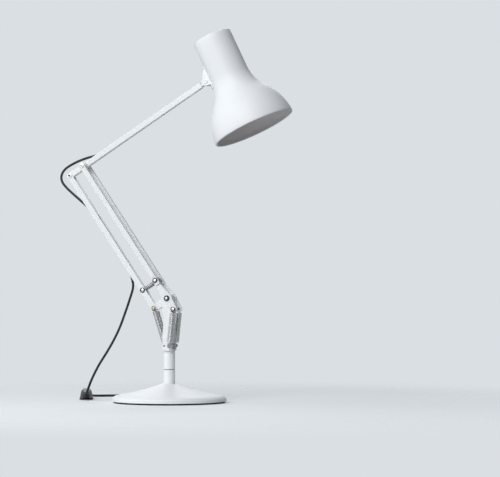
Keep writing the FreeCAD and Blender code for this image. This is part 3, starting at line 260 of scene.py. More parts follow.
# Steel painted dark: painted shade for the dark rings and dark middles of the bolt heads and pins
SHADE_PAINTED_STEEL = metal("steel_painted_shade", "4C4D50", 0.30, grain_mm=0.5, mottle=0.10,
                        mottle_mm=2.0)
# Nickel painted almost white: a painted highlight for the bright middles and rings of the bolt
# heads and pins
HIGHLIGHT_PAINTED_NICKEL = metal("nickel_painted_highlight", "E6E5E2", 0.26, grain_mm=0.5, grain_strength=0.06,
                      mottle=0.03, mottle_mm=2.0, roughness_swing=0.03)
# Turned brass under nickel that has worn thin, olive rather than gold
TURNED_BRASS = metal("turned_brass", "94885F", 0.32, grain_mm=0.5, mottle=0.12, mottle_mm=2.0)
# Natural nylon, milky and softly lit from within
MILKY_NYLON = Finish("moulded_nylon_white", "DEDFDD", 0.42, ior=1.53, grain_mm=0.6,
                     grain_strength=0.1, subsurface=0.15, subsurface_mm=1.2)
# Grey nylon of the sleeves between the arms, with a waxy depth
GREY_NYLON = Finish("moulded_nylon_grey", "9A9B9E", 0.45, ior=1.53, grain_mm=0.6,
                    grain_strength=0.1, mottle=0.04, subsurface=0.08, subsurface_mm=0.8)
# Black nylon of the washer and the switch's core, a dark line between lighter parts
BLACK_NYLON = Finish("moulded_nylon_black", "131315", 0.45, ior=1.53, grain_mm=0.6, mottle=0.08)
# Extruded soft PVC sheath, smooth with a low sheen
LEAD_SHEATH = Finish("extruded_pvc_sheath", "09090A", 0.50, ior=1.44, mottle=0.10)
# Injection-moulded ABS with a fine spark-eroded texture
SWITCH_ABS = Finish("moulded_abs_black", "0D0D0E", 0.46, ior=1.47, grain_mm=0.45,
                    grain_height=0.03, grain_strength=0.3, mottle=0.08)
# The same ABS polished in the mould, for the rocker that a finger keeps bright
ROCKER_ABS = Finish("moulded_abs_polished", "161618", 0.24, grain_mm=0.8, grain_strength=0.08,
                    mottle=0.05)
# White thermoset of the lamp holder, smooth and a little creamy
HOLDER_WHITE = Finish("moulded_holder_white", "DEDDD8", 0.36, ior=1.55, grain_mm=0.6,
                      subsurface=0.05)
# Opal glass, dipped inside so that it is milky under a hard gloss
OPAL_GLASS = Finish("opal_glass", "EEEDE8", 0.14, grain_mm=2.0, grain_strength=0.03,
                    roughness_swing=0.02, mottle=0.005, coat=0.5, coat_roughness=0.03,
                    subsurface=0.4, subsurface_mm=4.0)


class Side(Enum):
    """Side of the arm plane."""

    NEAR = -1
    FAR = 1


def only(obj: bpy.types.Object) -> None:
    """Makes one object the only selected and active one."""
    bpy.ops.object.select_all(action="DESELECT")
    obj.select_set(True)
    bpy.context.view_layer.objects.active = obj


def added(name: str, data: bpy.types.ID) -> bpy.types.Object:
    """Adds an object that holds the given data to the scene."""
    obj = bpy.data.objects.new(name, data)
    bpy.context.scene.collection.objects.link(obj)
    return obj


@contextmanager
def editing(obj: bpy.types.Object) -> Iterator[None]:
    """Opens one object in edit mode with all of it selected, and closes it again."""
    only(obj)
    bpy.ops.object.mode_set(mode="EDIT")
    bpy.ops.mesh.select_all(action="SELECT")
    yield
    bpy.ops.object.mode_set(mode="OBJECT")


def apply_modifier(obj: bpy.types.Object, kind: str, **settings: Any) -> None:
    """Adds a modifier with its settings and applies it."""
    only(obj)
    modifier = obj.modifiers.new(kind.lower(), kind)
    for name, value in settings.items():
        setattr(modifier, name, value)
    bpy.ops.object.modifier_apply(modifier=modifier.name)


def finish_piece(obj: bpy.types.Object, name: str, finish: Finish,
                 smooth_deg: float = 35.0) -> bpy.types.Object:
    """Names a piece, applies its place, mends its normals and gives it its finish.

    Args:
        obj: The piece, a mesh object.
        name: Its name.
        finish: Its material.
        smooth_deg: Edges sharper than this stay sharp.

    Returns:
        The same piece.
    """
    only(obj)
    bpy.ops.object.transform_apply()
    with editing(obj):
        bpy.ops.mesh.remove_doubles(threshold=MERGE_MM * MM)
        bpy.ops.mesh.normals_make_consistent(inside=False)
    bpy.ops.object.shade_smooth_by_angle(angle=math.radians(smooth_deg))
    obj.name = name
    obj.data.name = name
    obj.data.materials.clear()
    obj.data.materials.append(finish.build())
    return obj


def levelled(obj: bpy.types.Object) -> bpy.types.Object:
    """Weights the normals by area, so that a flat face stays flat up to its rounded edge."""
    apply_modifier(obj, "WEIGHTED_NORMAL", keep_sharp=True, weight=90)
    return obj


def turned(profile: Profile, sides: int = 48) -> bpy.types.Object:
    """Turns a profile about +Z, as on a lathe.

    Args:
        profile: (radius, height) pairs in millimetres, in order; an end with a radius is closed.
        sides: Number of sides round the axis.

    Returns:
        The turned object, with its axis on the origin.
    """
    bpy.ops.object.select_all(action="DESELECT")
    radius, height = profile[0]
    bpy.ops.mesh.primitive_circle_add(vertices=sides, radius=radius * MM, fill_type="NGON",
                                      location=(0.0, 0.0, height * MM))
    obj = bpy.context.active_object
    bpy.ops.object.transform_apply()
    with editing(obj):
        for (before, low), (after, high) in zip(profile, profile[1:]):
            bpy.ops.mesh.extrude_region_move(
                TRANSFORM_OT_translate={"value": (0.0, 0.0, (high - low) * MM)})
            share = after / before
            bpy.ops.transform.resize(value=(share, share, 1.0),
                                     center_override=(0.0, 0.0, high * MM))
        bpy.ops.mesh.select_all(action="SELECT")
        bpy.ops.mesh.normals_make_consistent(inside=False)
    return obj


def place(obj: bpy.types.Object, centre: Vector, axis: Vector) -> bpy.types.Object:
    """Turns a piece made along +Z onto an axis and moves it to its centre.

    Args:
        obj: The piece.
        centre: Where its origin goes, in metres.
        axis: Direction that its +Z takes.

    Returns:
        The same piece, with its place in its mesh.
    """
    turn = axis.to_track_quat("Z", "Y").to_matrix().to_4x4()
    obj.matrix_world = Matrix.Translation(centre) @ turn
    only(obj)
    bpy.ops.object.transform_apply()
    return obj


def join(parts: Sequence[bpy.types.Object]) -> bpy.types.Object:
    """Joins pieces of one casting or one fixing into the first of them."""
    bpy.ops.object.select_all(action="DESELECT")
    for part in parts:
        part.select_set(True)
    bpy.context.view_layer.objects.active = parts[0]
    bpy.ops.object.join()
    return bpy.context.active_object


def bevel(obj: bpy.types.Object, width_mm: float, segments: int = 2,
          angle_deg: float = 35.0) -> None:
    """Rounds the sharp edges of a piece with an applied bevel."""
    apply_modifier(obj, "BEVEL", width=width_mm * MM, segments=segments, limit_method="ANGLE",
                   angle_limit=math.radians(angle_deg), use_clamp_overlap=True)


def carve(obj: bpy.types.Object, cutter: bpy.types.Object) -> None:
    """Cuts one piece out of another and deletes the cutter."""
    apply_modifier(obj, "BOOLEAN", operation="DIFFERENCE", solver="EXACT", object=cutter)
    bpy.data.objects.remove(cutter, do_unlink=True)


def spline(name: str, points: Sequence[Point]) -> bpy.types.Object:
    """Draws an open NURBS curve of order 3 through given control points.

    Args:
        name: Name of the curve.
        points: Control points, in metres.

    Returns:
        The curve object, with no bevel.
    """
    curve = bpy.data.curves.new(name, "CURVE")
    curve.dimensions = "3D"
    curve.resolution_u = 8
    line = curve.splines.new("NURBS")
    line.points.add(len(points) - 1)
    for point, target in zip(line.points, points):
        point.co = (*target, 1.0)
    line.order_u = 3
    line.use_endpoint_u = True
    return added(name, curve)


def centre_line(curve: bpy.types.Object) -> list[Point]:
    """Reads the points that an unbevelled curve runs through."""
    bpy.context.view_layer.update()
    mesh = bpy.data.meshes.new_from_object(
        curve.evaluated_get(bpy.context.evaluated_depsgraph_get()))
    points = [tuple(v.co) for v in mesh.vertices]
    bpy.data.meshes.remove(mesh)
    return points


def wire(name: str, points: Sequence[Point], radius: float, resolution: int,
         steps: int) -> bpy.types.Object:
    """Makes a round wire or tube as a mesh along control points.

    Args:
        name: Name of the piece.
        points: Control points, in metres.
        radius: Radius of the wire, in metres.
        resolution: Bevel resolution of the round.
        steps: Rings between two control points.

    Returns:
        The mesh object.
    """
    obj = spline(name, points)
    obj.data.bevel_depth = radius
    obj.data.bevel_resolution = resolution
    obj.data.use_fill_caps = True
    obj.data.resolution_u = steps
    only(obj)
    bpy.ops.object.convert(target="MESH")
    made = bpy.context.active_object
    bpy.ops.object.shade_smooth()
    return made


def ride(obj: bpy.types.Object, body: str, slot: str, *replaced: str) -> bpy.types.Object:
    """Puts a piece on its body and hides the nodes that it stands for.

    Args:
        obj: The piece.
        body: Body that it moves with.
        slot: Not used.
        replaced: CAD nodes that it replaces.

    Returns:
        The same piece.
    """
    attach(obj, body)
    if replaced:
        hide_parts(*replaced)
    return obj


def bend_between(obj: bpy.types.Object, bodies: tuple[str, str], start: Vector, end: Vector,
                 slot: str, *replaced: str) -> bpy.types.Object:
    """Applies the place of a piece that spans two bodies to its mesh and hides the nodes that it
    stands for.
    """
    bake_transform(obj)
    if replaced:
        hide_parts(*replaced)
    return obj


def copied(frame: dict[str, Any], node: str) -> bpy.types.Object:
    """Copies a CAD solid's mesh, merged and without the needless edges of its flat faces.

    Args:
        frame: The loaded frame.
        node: CAD node to copy.

    Returns:
        The copy, a new object.
    """
    source = frame["nodes"][node]
    obj = added(f"{node}_made", source.data.copy())
    obj.matrix_world = source.matrix_world
    with editing(obj):
        bpy.ops.mesh.remove_doubles(threshold=CAD_MERGE_MM * MM)
        bpy.ops.mesh.dissolve_limited(angle_limit=math.radians(CAD_FLAT_DEG))
    return obj


def softened(frame: dict[str, Any], node: str, finish: Finish, body: str, edge_mm: float,
             segments: int = 2) -> bpy.types.Object:
    """Copies a CAD solid and breaks its sharp edges, as paint or a mould's radius does.

    Args:
        frame: The loaded frame.
        node: CAD node that the piece stands for.
        finish: Its material.
        body: Body that it moves with.
        edge_mm: Width of the broken edges.
        segments: Faces across an edge.

    Returns:
        The new piece.
    """
    obj = copied(frame, node)
    bevel(obj, edge_mm, segments, 28.0)
    levelled(finish_piece(obj, f"{node}_made", finish, 32.0))
    return ride(obj, body, node, node)


def dress(frame: dict[str, Any], finish: Finish, *nodes: str) -> None:
    """Gives CAD nodes that stay in view their finish."""
    material = finish.build()
    for name in nodes:
        for slot in frame["nodes"][name].material_slots:
            slot.material = material


def scaled(profile: Profile, radius: float, height: float) -> list[tuple[float, float]]:
    """Scales a profile of shares to a real radius and height."""
    return [(radius * r, height * h) for r, h in profile]


def arc(centre: tuple[float, float], radius: float, start: float, end: float,
        steps: int) -> list[tuple[float, float]]:
    """Lists the points of an arc in a profile, with both its ends.

    Args:
        centre: Radius and height of its centre, in millimetres.
        radius: Its own radius.
        start: Angle of its first point, in radians up from outwards.
        end: Angle of its last point.
        steps: Number of steps between them.

    Returns:
        (radius, height) pairs.
    """
    angles = [start + (end - start) * step / steps for step in range(steps + 1)]
    return [(centre[0] + radius * math.cos(a), centre[1] + radius * math.sin(a)) for a in angles]


@dataclass
class Fixing:
    """A cross bolt with a domed head and washer on the near side and a nut on the far side."""

    name: str
    body: str
    slot: str
    centre: Point
    head_face: float
    head_radius: float
    head_height: float
    shank_radius: float
    nut_radius: float
    nut_height: float
    replaced: tuple[str, ...]
    washer: float = 0.3
    washer_extra: float = 0.3
    washer_edge: tuple[float, float] = (0.1, 0.08)
    middle_share: float = 0.52
    # By default the rim is steel painted dark as painted shade, and the middle is nickel painted
    # almost white as a painted highlight.
    rim: Finish = SHADE_PAINTED_STEEL
    middle: Finish = HIGHLIGHT_PAINTED_NICKEL
    head_sides: int = 40
    middle_sides: int = 32
    shank_sides: int = 28

    def head(self) -> tuple[bpy.types.Object, bpy.types.Object]:
        """Makes the rim with its washer and the domed middle inside it, by default a rim of painted
        shade round a middle with a painted highlight.

        Returns:
            The rim and the middle.
        """
        r, h, share = self.head_radius, self.head_height, self.middle_share
        rim = turned(scaled([(share, 0.66), (share + 0.06, 0.90), (share + 0.18, 1.0),
                             (0.88, 0.84), (0.98, 0.46), (1.0, 0.0)], r, h), self.head_sides)
        edge, (back, down) = r + self.washer_extra, self.washer_edge
        ring = turned([(edge - back, 0.0), (edge, -down), (edge, -self.washer)], self.head_sides)
        middle = turned(scaled([(0.10, 1.10), (share * 0.45, 1.07), (share * 0.75, 0.97),
                                (share * 0.95, 0.80), (share, 0.60), (share, 0.0)], r, h),
                        self.middle_sides)
        spot = metres(self.centre) - ACROSS * (self.head_face + self.washer) * MM
        return place(join([rim, ring]), spot, -ACROSS), place(middle, spot, -ACROSS)

    def nut(self) -> bpy.types.Object:
        """Makes the chamfered hexagon nut with the end of the shank in it."""
        r, h, shank = self.nut_radius, self.nut_height, self.shank_radius
        bpy.ops.object.select_all(action="DESELECT")
        bpy.ops.mesh.primitive_cylinder_add(vertices=6, radius=r * MM, depth=h * MM,
                                            location=(0.0, 0.0, h / 2 * MM))
        nut = bpy.context.active_object
        bevel(nut, 0.3, 2, 20.0)
        tip = turned([(shank, h * 0.5), (shank, h + 0.4), (shank * 0.8, h + 0.8)],
                     self.shank_sides)
        return place(join([nut, tip]), metres(self.centre) + ACROSS * self.head_face * MM, ACROSS)

    def shank(self) -> bpy.types.Object:
        """Makes the plain shank between head and nut."""
        body = turned([(self.shank_radius, -self.head_face - self.washer),
                       (self.shank_radius, self.head_face)], self.shank_sides)
        return place(body, metres(self.centre), ACROSS)

    def build(self) -> None:
        """Makes the fixing and puts it on its body."""
        rim, middle = self.head()
        ride(finish_piece(rim, f"{self.name}_rim", self.rim, 40.0), self.body, self.slot)
        ride(finish_piece(middle, f"{self.name}_middle", self.middle, 50.0), self.body, self.slot)
        piece = join([self.nut(), self.shank()])
        levelled(finish_piece(piece, self.name, NICKEL_STEEL, 30.0))
        ride(piece, self.body, self.slot, *self.replaced)
        LOG.info("%s on %s", self.name, self.body)


@dataclass
class Rivet:
    """A pin closed at both ends, with a rolled rim round a domed middle, each with its own finish;
    on the steel pins one carries painted shade and the other a painted highlight.
    """

    name: str
    body: str
    slot: str
    centre: Point
    face: float
    radius: float
    height: float
    shank_radius: float
    rim: Finish
    middle: Finish
    through: bool = True
    rim_shares: ClassVar[Profile] = ((0.50, 0.55), (0.58, 0.86), (0.72, 1.0), (0.88, 0.88),
                                     (1.0, 0.45), (1.0, 0.0))
    middle_shares: ClassVar[Profile] = ((0.56, 0.0), (0.52, 0.62), (0.38, 0.80), (0.14, 0.88))

    def cap(self, side: Side) -> tuple[bpy.types.Object, bpy.types.Object]:
        """Makes the rolled rim and the domed middle inside it.

        Args:
            side: Side of the arm plane.

        Returns:
            The rim and the middle.
        """
        rim = turned(scaled(self.rim_shares, self.radius, self.height), 36)
        middle = turned(scaled(self.middle_shares, self.radius, self.height), 28)
        spot = metres(self.centre) + ACROSS * side.value * self.face * MM
        return place(rim, spot, ACROSS * side.value), place(middle, spot, ACROSS * side.value)

    def build(self) -> None:
        """Makes the pin with its two caps and puts it on its body."""
        near_rim, near_middle = self.cap(Side.NEAR)
        far_rim, far_middle = self.cap(Side.FAR)
        parts = [near_rim, far_rim]
        if self.through:
            shank = turned([(self.shank_radius, -self.face), (self.shank_radius, self.face)], 28)
            parts.append(place(shank, metres(self.centre), ACROSS))
        rims = finish_piece(join(parts), self.name, self.rim, 40.0)
        ride(rims, self.body, self.slot, *([self.slot] if self.through else []))
        middles = finish_piece(join([near_middle, far_middle]), f"{self.name}_middle", self.middle,
                               40.0)
        ride(middles, self.body, self.slot)
        LOG.info("%s on %s", self.name, self.body)


def helix(low: Vector, run: Vector, first: Vector, second: Vector, turns: float,
          phase: float = 0.0, per_turn: int = 12) -> list[Vector]:
    """Lists the points of a helix.

    Args:
        low: Start of its axis.
        run: Its axis, from start to end.
        first: Radius at angle nought, square to the axis.
        second: Radius a quarter turn on.
        turns: Number of turns.
        phase: Share of a turn at which it starts.
        per_turn: Points in a turn.

    Returns:
        The points, from start to end.
    """
    steps = int(turns * per_turn)
    points = []
    for step in range(steps + 1):
        angle = 2 * math.pi * (phase + turns * step / steps)
        points.append(low + run * (step / steps) + first * math.cos(angle)
                      + second * math.sin(angle))
    return points


def spring_wire(name: str, points: Sequence[Vector], wire_mm: float,
                finish: Finish) -> bpy.types.Object:
    """Makes a finished spring wire through points in millimetres."""
    line = [tuple(point * MM) for point in points]
    return finish_piece(wire(name, line, wire_mm / 2 * MM, 2, 2), name, finish, 60.0)


@dataclass
class Spring:
    """A close-wound tension spring of one wire, with an eye round the pin at each end."""

    name: str
    low: Vector
    high: Vector
    low_pin: float
    high_pin: float
    coil: float
    wire_mm: float
    curls: int
    eye_gap: float = 0.35
    lead: float = 0.9
    rise: float = 1.3
    points_per_curl: int = 12
    eye_step: int = 30

    def axis(self) -> Vector:
        """Gives the direction from the low eye to the high one."""
        return (self.high - self.low).normalized()

    def path(self) -> list[Vector]:
        """Lists the wire's points from one eye through the curls to the other, in millimetres."""
        axis = self.axis()
        first = axis.cross(ACROSS).normalized()
        second = axis.cross(first)
        low_ring = self.low_pin + self.eye_gap + self.wire_mm / 2
        high_ring = self.high_pin + self.eye_gap + self.wire_mm / 2
        start = low_ring + self.lead + self.rise
        end = (self.high - self.low).length - high_ring - self.lead - self.rise

        def ring(centre: Vector, radius: float, degrees: float) -> Vector:
            """Gives the point of an eye at an angle."""
            angle = math.radians(degrees)
            return centre + first * radius * math.cos(angle) + axis * radius * math.sin(angle)

        points = [ring(self.low, low_ring, a) for a in range(90, 361, self.eye_step)]
        points += [points[-1] + axis * (low_ring + self.lead) * share for share in (0.5, 1.0)]
        radius = self.coil / math.cos(math.pi / self.points_per_curl) ** 0.5
        points += helix(self.low + axis * start, axis * (end - start), first * radius,
                        second * radius, self.curls + 0.5, 0.25, self.points_per_curl)
        side_point = ring(self.high, high_ring, 0)
        points += [side_point - axis * (high_ring + self.lead) * share for share in (1.0, 0.5)]
        points += [ring(self.high, high_ring, a) for a in range(0, 271, self.eye_step)]
        return points

    def build(self) -> bpy.types.Object:
        """Makes the wire in one stretch."""
        return spring_wire(self.name, self.path(), self.wire_mm, SPRING_WIRE)

    def build_parted(self, cut: float) -> tuple[bpy.types.Object, bpy.types.Object]:
        """Makes the wire in two stretches that meet end to end.

        Args:
            cut: Share of the spring's length at which it is parted.

        Returns:
            The lower stretch and the upper one.
        """
        height = cut * (self.high - self.low).length
        points = self.path()
        stop = next(index for index, point in enumerate(points)
                    if (point - self.low).dot(self.axis()) > height)
        return (spring_wire(f"{self.name}_1", points[:stop + 1], self.wire_mm, SPRING_WIRE),
                spring_wire(f"{self.name}_2", points[stop:], self.wire_mm, SPRING_WIRE))


@dataclass
class Springs:
    """The springs between the cross pins of the fork and the arms, and the small steadying one."""

    anchor_pin: float = 1.5
    link_pin: float = 1.8
    link_sides: tuple[float, float] = (4.5, 6.3)
    link_coil: float = 2.8
    link_wire: float = 0.8
    link_curls: int = 45
    link_stiff: float = 4.0
    handover: float = 0.62
    arm_pin: float = 1.9
    arm_side: float = 14.95
    arm_coil: float = 3.6
    arm_wire: float = 0.95
    arm_curls: int = 36
    arm_bend: tuple[float, float] = (0.24, 1.10)
    brake_coil: float = 2.5
    brake_swell: float = 1.03
    brake_wire: float = 1.2
    brake_curls: int = 11
    brake_ends: tuple[float, float] = (3.6, 18.0)

    def arm(self, side: Side) -> None:
        """Makes the spring that pulls one tail of the lower arm."""
        aside = Vector((0.0, self.arm_side * side.value, 0.0))
        low, high = Vector(FRONT_ANCHOR) + aside, Vector(ARM_TAIL) + aside
        piece = Spring(f"arm_spring_{side.name.lower()}", low, high, self.anchor_pin, self.arm_pin,
                       self.arm_coil, self.arm_wire, self.arm_curls).build()
        start, end = (low + (high - low) * share for share in self.arm_bend)
        bend_between(piece, ("head", "lower_arm"), start * MM, end * MM, "arm_springs",
                     "arm_springs")

    def link(self, side: Side) -> None:
        """Makes the spring that pulls the crank pin, spread a little wider at its top."""
        low = Vector(REAR_ANCHOR) + Vector((0.0, self.link_sides[0] * side.value, 0.0))
        high = Vector(CRANK_PIN) + Vector((0.0, self.link_sides[1] * side.value, 0.0))
        spring = Spring(f"link_spring_{side.name.lower()}", low, high, self.anchor_pin,
                        self.link_pin, self.link_coil, self.link_wire, self.link_curls)
        lower, upper = spring.build_parted(self.handover)
        turn = low + (high - low) * self.handover
        stiff = spring.axis() * self.link_stiff
        bend_between(lower, ("head", "lower_arm"), (low + stiff) * MM, turn * MM, "link_springs",
                     "link_springs")
        bend_between(upper, ("lower_arm", "crank"), (turn + spring.axis()) * MM,
                     (high - stiff) * MM, "link_springs")

    def brake(self) -> None:
        """Makes the short spring round the steadying rod."""
        heading = Vector((math.cos(UPPER_RISE), 0.0, math.sin(UPPER_RISE)))
        start, end = self.brake_ends
        radius = self.brake_coil * self.brake_swell
        points = helix(Vector(GRIP_PIN) + heading * start, heading * (end - start),
                       ACROSS * radius, ACROSS.cross(heading) * radius, self.brake_curls)
        piece = spring_wire("brake_spring_made", points, self.brake_wire, TEMPERED_WIRE)
        ride(piece, "brake_link", "brake_spring", "brake_spring")

    def build(self) -> None:
        """Makes two springs on the crank pin, two on the arm's tails and the small one."""
        for side in Side:
            self.arm(side)
            self.link(side)
        self.brake()
        LOG.info("springs")


@dataclass
class Shade:
    """Spun shade with its lining, bead, bulb and holder."""

    length: float = 133.0
    neck: float = 25.8
    neck_length: float = 56.0
    neck_rings: tuple[float, ...] = (0.2, 0.45, 0.7, 0.9)
    flare: float = 50.0
    flare_deg: float = 40.0
    mouth: float = 55.0
    wall: float = 1.0
    cap_round: float = 2.6
    cap_steps: int = 4
    cap_hole: float = 0.4
    flare_steps: int = 12
    bell_steps: int = 16
    bead: float = 1.1
    bead_steps: int = 8
    bead_deg: tuple[float, float] = (-5.0, -205.0)
    lining_start: float = 3.0
    offset: float = 31.4
    station: float = 50.0
    bulb_radius: float = 20.0
    bulb_station: float = 82.0
    bulb_steps: int = 13
    bulb_deg: tuple[float, float] = (-79.5, 57.0)
    bulb_neck: ClassVar[Profile] = ((12.6, 17.6), (10.4, 20.0), (9.3, 22.0))
    sides: int = 128

    def matrix(self) -> Matrix:
        """Gives the place of the upright shade, its cap's centre on the origin, in metres."""
        turn = Matrix.Rotation(-SHADE_LEAN, 4, ACROSS)
        return Matrix.Translation(metres(SHADE_PIVOT)) @ turn @ Matrix.Translation(
            metres((self.offset, 0.0, self.station)))

    def skin(self, inset: float) -> list[tuple[float, float]]:
        """Lists the profile from the cap's edge to the mouth, inset from the outer face.

        Args:
            inset: Distance inside the outer face, in millimetres.

        Returns:
            (radius, height) pairs from the cap down.
        """
        flare = math.radians(self.flare_deg)
        wide = self.neck + self.flare * (1 - math.cos(flare))
        low = self.neck_length + self.flare * math.sin(flare)
        out, down = self.mouth - wide, self.length - low
        lip = 2 * math.atan(out / down) - flare
        radius = math.hypot(out, down) / 2 / math.sin((flare - lip) / 2)
        bell = (wide - radius * math.cos(flare), -low - radius * math.sin(flare))
        return [*arc((self.neck - self.cap_round, -self.cap_round), self.cap_round - inset,
                     math.pi / 2, 0.0, self.cap_steps),
                *((self.neck - inset, -self.neck_length * share) for share in self.neck_rings),
                *arc((self.neck + self.flare, -self.neck_length), self.flare + inset,
                     math.pi, math.pi + flare, self.flare_steps),
                *arc(bell, radius - inset, flare, lip, self.bell_steps)[1:]]

    def shell(self) -> None:
        """Makes the shade of two skins joined at a rolled bead."""
        outer = self.skin(0.0)
        inner = self.skin(self.wall)
        inner[-1] = (inner[-1][0], outer[-1][1])
        bead = arc((self.mouth - self.bead, -self.length + self.bead / 2), self.bead,
                   *map(math.radians, self.bead_deg), self.bead_steps)
        profile = [(self.cap_hole, 0.0), (self.neck * 0.5, 0.0), (self.neck - self.cap_round, 0.0)]
        profile += outer[1:-1] + bead + inner[-2::-1]
        profile += [(self.neck * 0.4, -self.wall), (self.cap_hole, -self.wall)]
        obj = turned(profile, self.sides)
        obj.matrix_world = self.matrix()
        piece = finish_piece(obj, "shade_spinning", POWDER_WHITE, 50.0)
        piece.data.materials.append(LINING_WHITE.build())
        inverse = self.matrix().inverted()
        for face in piece.data.polygons:
            spot = inverse @ face.center
            away = inverse.to_3x3() @ face.normal
            outward = away.x * spot.x + away.y * spot.y
            if spot.z > -self.wall * 1.5 * MM:
                face.material_index = 1 if away.z < -0.5 else 0
            elif outward < 0 and spot.z < -self.lining_start * MM:
                face.material_index = 1
        ride(piece, "shade", "shade", "shade")

    def globe(self) -> None:
        """Makes the opal bulb with its drawn-in neck."""
        r, low = self.bulb_radius, -self.bulb_station
        profile = [(0.5, low - r),
                   *arc((0.0, low), r, *map(math.radians, self.bulb_deg), self.bulb_steps),
                   *((radius, low + rise) for radius, rise in self.bulb_neck)]
        obj = turned(profile, 64)
        obj.matrix_world = self.matrix()
        ride(finish_piece(obj, "bulb_globe", OPAL_GLASS, 60.0), "shade", "bulb", "bulb")

    def build(self, frame: dict[str, Any]) -> None:
        """Makes the shade and softens what it holds."""
        self.shell()
        self.globe()
        for node, finish, edge in (
                ("shade_bracket", POWDER_WHITE, 0.35), ("holder_carrier", HOLDER_WHITE, 0.4),
                ("lamp_holder", HOLDER_WHITE, 0.5), ("bracket_screws", ZINC_STEEL, 0.3),
                ("tilt_knob", POWDER_WHITE, 0.4), ("tilt_bolt", POWDER_WHITE, 0.25)):
            softened(frame, node, finish, "shade", edge)
        softened(frame, "knuckle", POWDER_WHITE, "shade_knuckle", 0.3)
        dress(frame, ZINC_STEEL, "bulb_cap")
        LOG.info("shade")


@dataclass
class Foot:
    """Weighted foot, stem, swivel and post with its fork."""

    rows: ClassVar[Sequence[tuple[str, Finish, str, float]]] = (
        ("foot_cover", POWDER_WHITE, "base", 0.4), ("foot_stem", POWDER_WHITE, "base", 0.35),
        ("foot_pad", PAD_RUBBER, "base", 0.5), ("swivel_washer", BLACK_NYLON, "base", 0.12),
        ("post", POWDER_WHITE, "head", 0.4), ("fork", POWDER_WHITE, "head", 0.3),
        ("anchor_pins", ZINC_STEEL, "head", 0.25), ("fork_bolt", ZINC_STEEL, "head", 0.3))

    def build(self, frame: dict[str, Any]) -> None:
        """Softens the foot and the post and dresses what they hide."""
        for row in self.rows:
            softened(frame, *row)
        dress(frame, CAST_IRON, "foot_weight")
        dress(frame, ZINC_STEEL, "stem_nut", "swivel_spigot")
        LOG.info("foot")


@dataclass
class Arms:
    """Lower bars, rear link, crank, brake link and upper arm."""

    rows: ClassVar[Sequence[tuple[str, Finish, str, float]]] = (
        ("lower_bar_far", POWDER_WHITE, "lower_arm", 0.25),
        ("lower_bar_near", POWDER_WHITE, "lower_arm", 0.25),
        ("tail_plate_far", POWDER_WHITE, "lower_arm", 0.25),
        ("tail_plate_near", POWDER_WHITE, "lower_arm", 0.25),
        ("upper_tube", POWDER_WHITE, "upper_arm", 0.25),
        ("arm_end_socket", POWDER_WHITE, "upper_arm", 0.2),
        ("rear_link", POWDER_WHITE, "rear_link", 0.25), ("crank", POWDER_WHITE, "crank", 0.3),
        ("shoulder_bushes", MILKY_NYLON, "lower_arm", 0.12),
        ("elbow_bushes", MILKY_NYLON, "upper_arm", 0.25),
        ("spacer_sleeve", GREY_NYLON, "lower_arm", 0.25),
        ("spring_studs", NICKEL_STEEL, "lower_arm", 0.25),
        ("bar_rivets", POWDER_WHITE, "lower_arm", 0.2),
        ("brake_rod", ZINC_STEEL, "brake_link", 0.2))

    def fixings(self) -> list[Fixing | Rivet]:
        """Lists the bolts at the three cross axes and the pins of the linkage."""
        return [
            # On these heads the dark steel finish is painted shade and the almost white nickel
            # finish is a painted highlight, whether it sits on a rim or a middle.
            Fixing("shoulder_fixing", "head", "shoulder_bolt", SHOULDER, head_face=13.4,
                   head_radius=3.5, head_height=1.6, shank_radius=2.8, nut_radius=4.8,
                   nut_height=2.1, replaced=("shoulder_bolt", "shoulder_nut")),
            Fixing("elbow_fixing", "lower_arm", "elbow_bolt", ELBOW, head_face=14.8,
                   head_radius=3.1, head_height=1.1, shank_radius=2.5, nut_radius=4.3,
                   nut_height=2.1, replaced=("elbow_bolt", "elbow_nut"), middle_share=0.46,
                   rim=HIGHLIGHT_PAINTED_NICKEL, middle=NICKEL_STEEL),
            Fixing("spacer_fixing", "lower_arm", "spacer_bolt", SPACER, head_face=14.8,
                   head_radius=3.2, head_height=1.1, shank_radius=2.0, nut_radius=3.6,
                   nut_height=2.1, replaced=("spacer_bolt", "spacer_nut"), washer_extra=0.2,
                   middle_share=0.6),
            Rivet("crank_pin_made", "crank", "crank_pin", CRANK_PIN, face=7.1, radius=2.7,
                  height=0.9, shank_radius=1.8, rim=TURNED_BRASS, middle=MILKY_NYLON),
            Rivet("brake_pin_made", "rear_link", "brake_pin", GRIP_PIN, face=5.2, radius=3.4,
                  height=1.0, shank_radius=1.4, rim=SHADE_PAINTED_STEEL, middle=HIGHLIGHT_PAINTED_NICKEL),
            Rivet("tail_pin_made", "upper_arm", "tail_pin", LINK_TOP, face=5.3, radius=3.1,
                  height=0.9, shank_radius=1.8, rim=HIGHLIGHT_PAINTED_NICKEL, middle=SHADE_PAINTED_STEEL),
            Rivet("stud_heads", "lower_arm", "spring_studs", ARM_TAIL,
                  face=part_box("spring_studs")[1][1] / MM, radius=3.2, height=0.8,
                  shank_radius=1.8, rim=SHADE_PAINTED_STEEL, middle=HIGHLIGHT_PAINTED_NICKEL, through=False)]

    def build(self, frame: dict[str, Any]) -> None:
        """Softens the edges of the arms and makes their fixings."""
        for row in self.rows:
            softened(frame, *row)
        dress(frame, LEAD_SHEATH, "lead_upper", "lead_link")
        for fixing in self.fixings():
            fixing.build()
        LOG.info("arms")


def block(low: Point, high: Point) -> bpy.types.Object:
    """Adds a rectangular block between two corners, given in millimetres."""
    bpy.ops.object.select_all(action="DESELECT")
    middle, size = (metres(low) + metres(high)) / 2, metres(high) - metres(low)
    bpy.ops.mesh.primitive_cube_add(size=1.0, location=middle)
    obj = bpy.context.active_object
    obj.scale = size
    bpy.ops.object.transform_apply()
    return obj


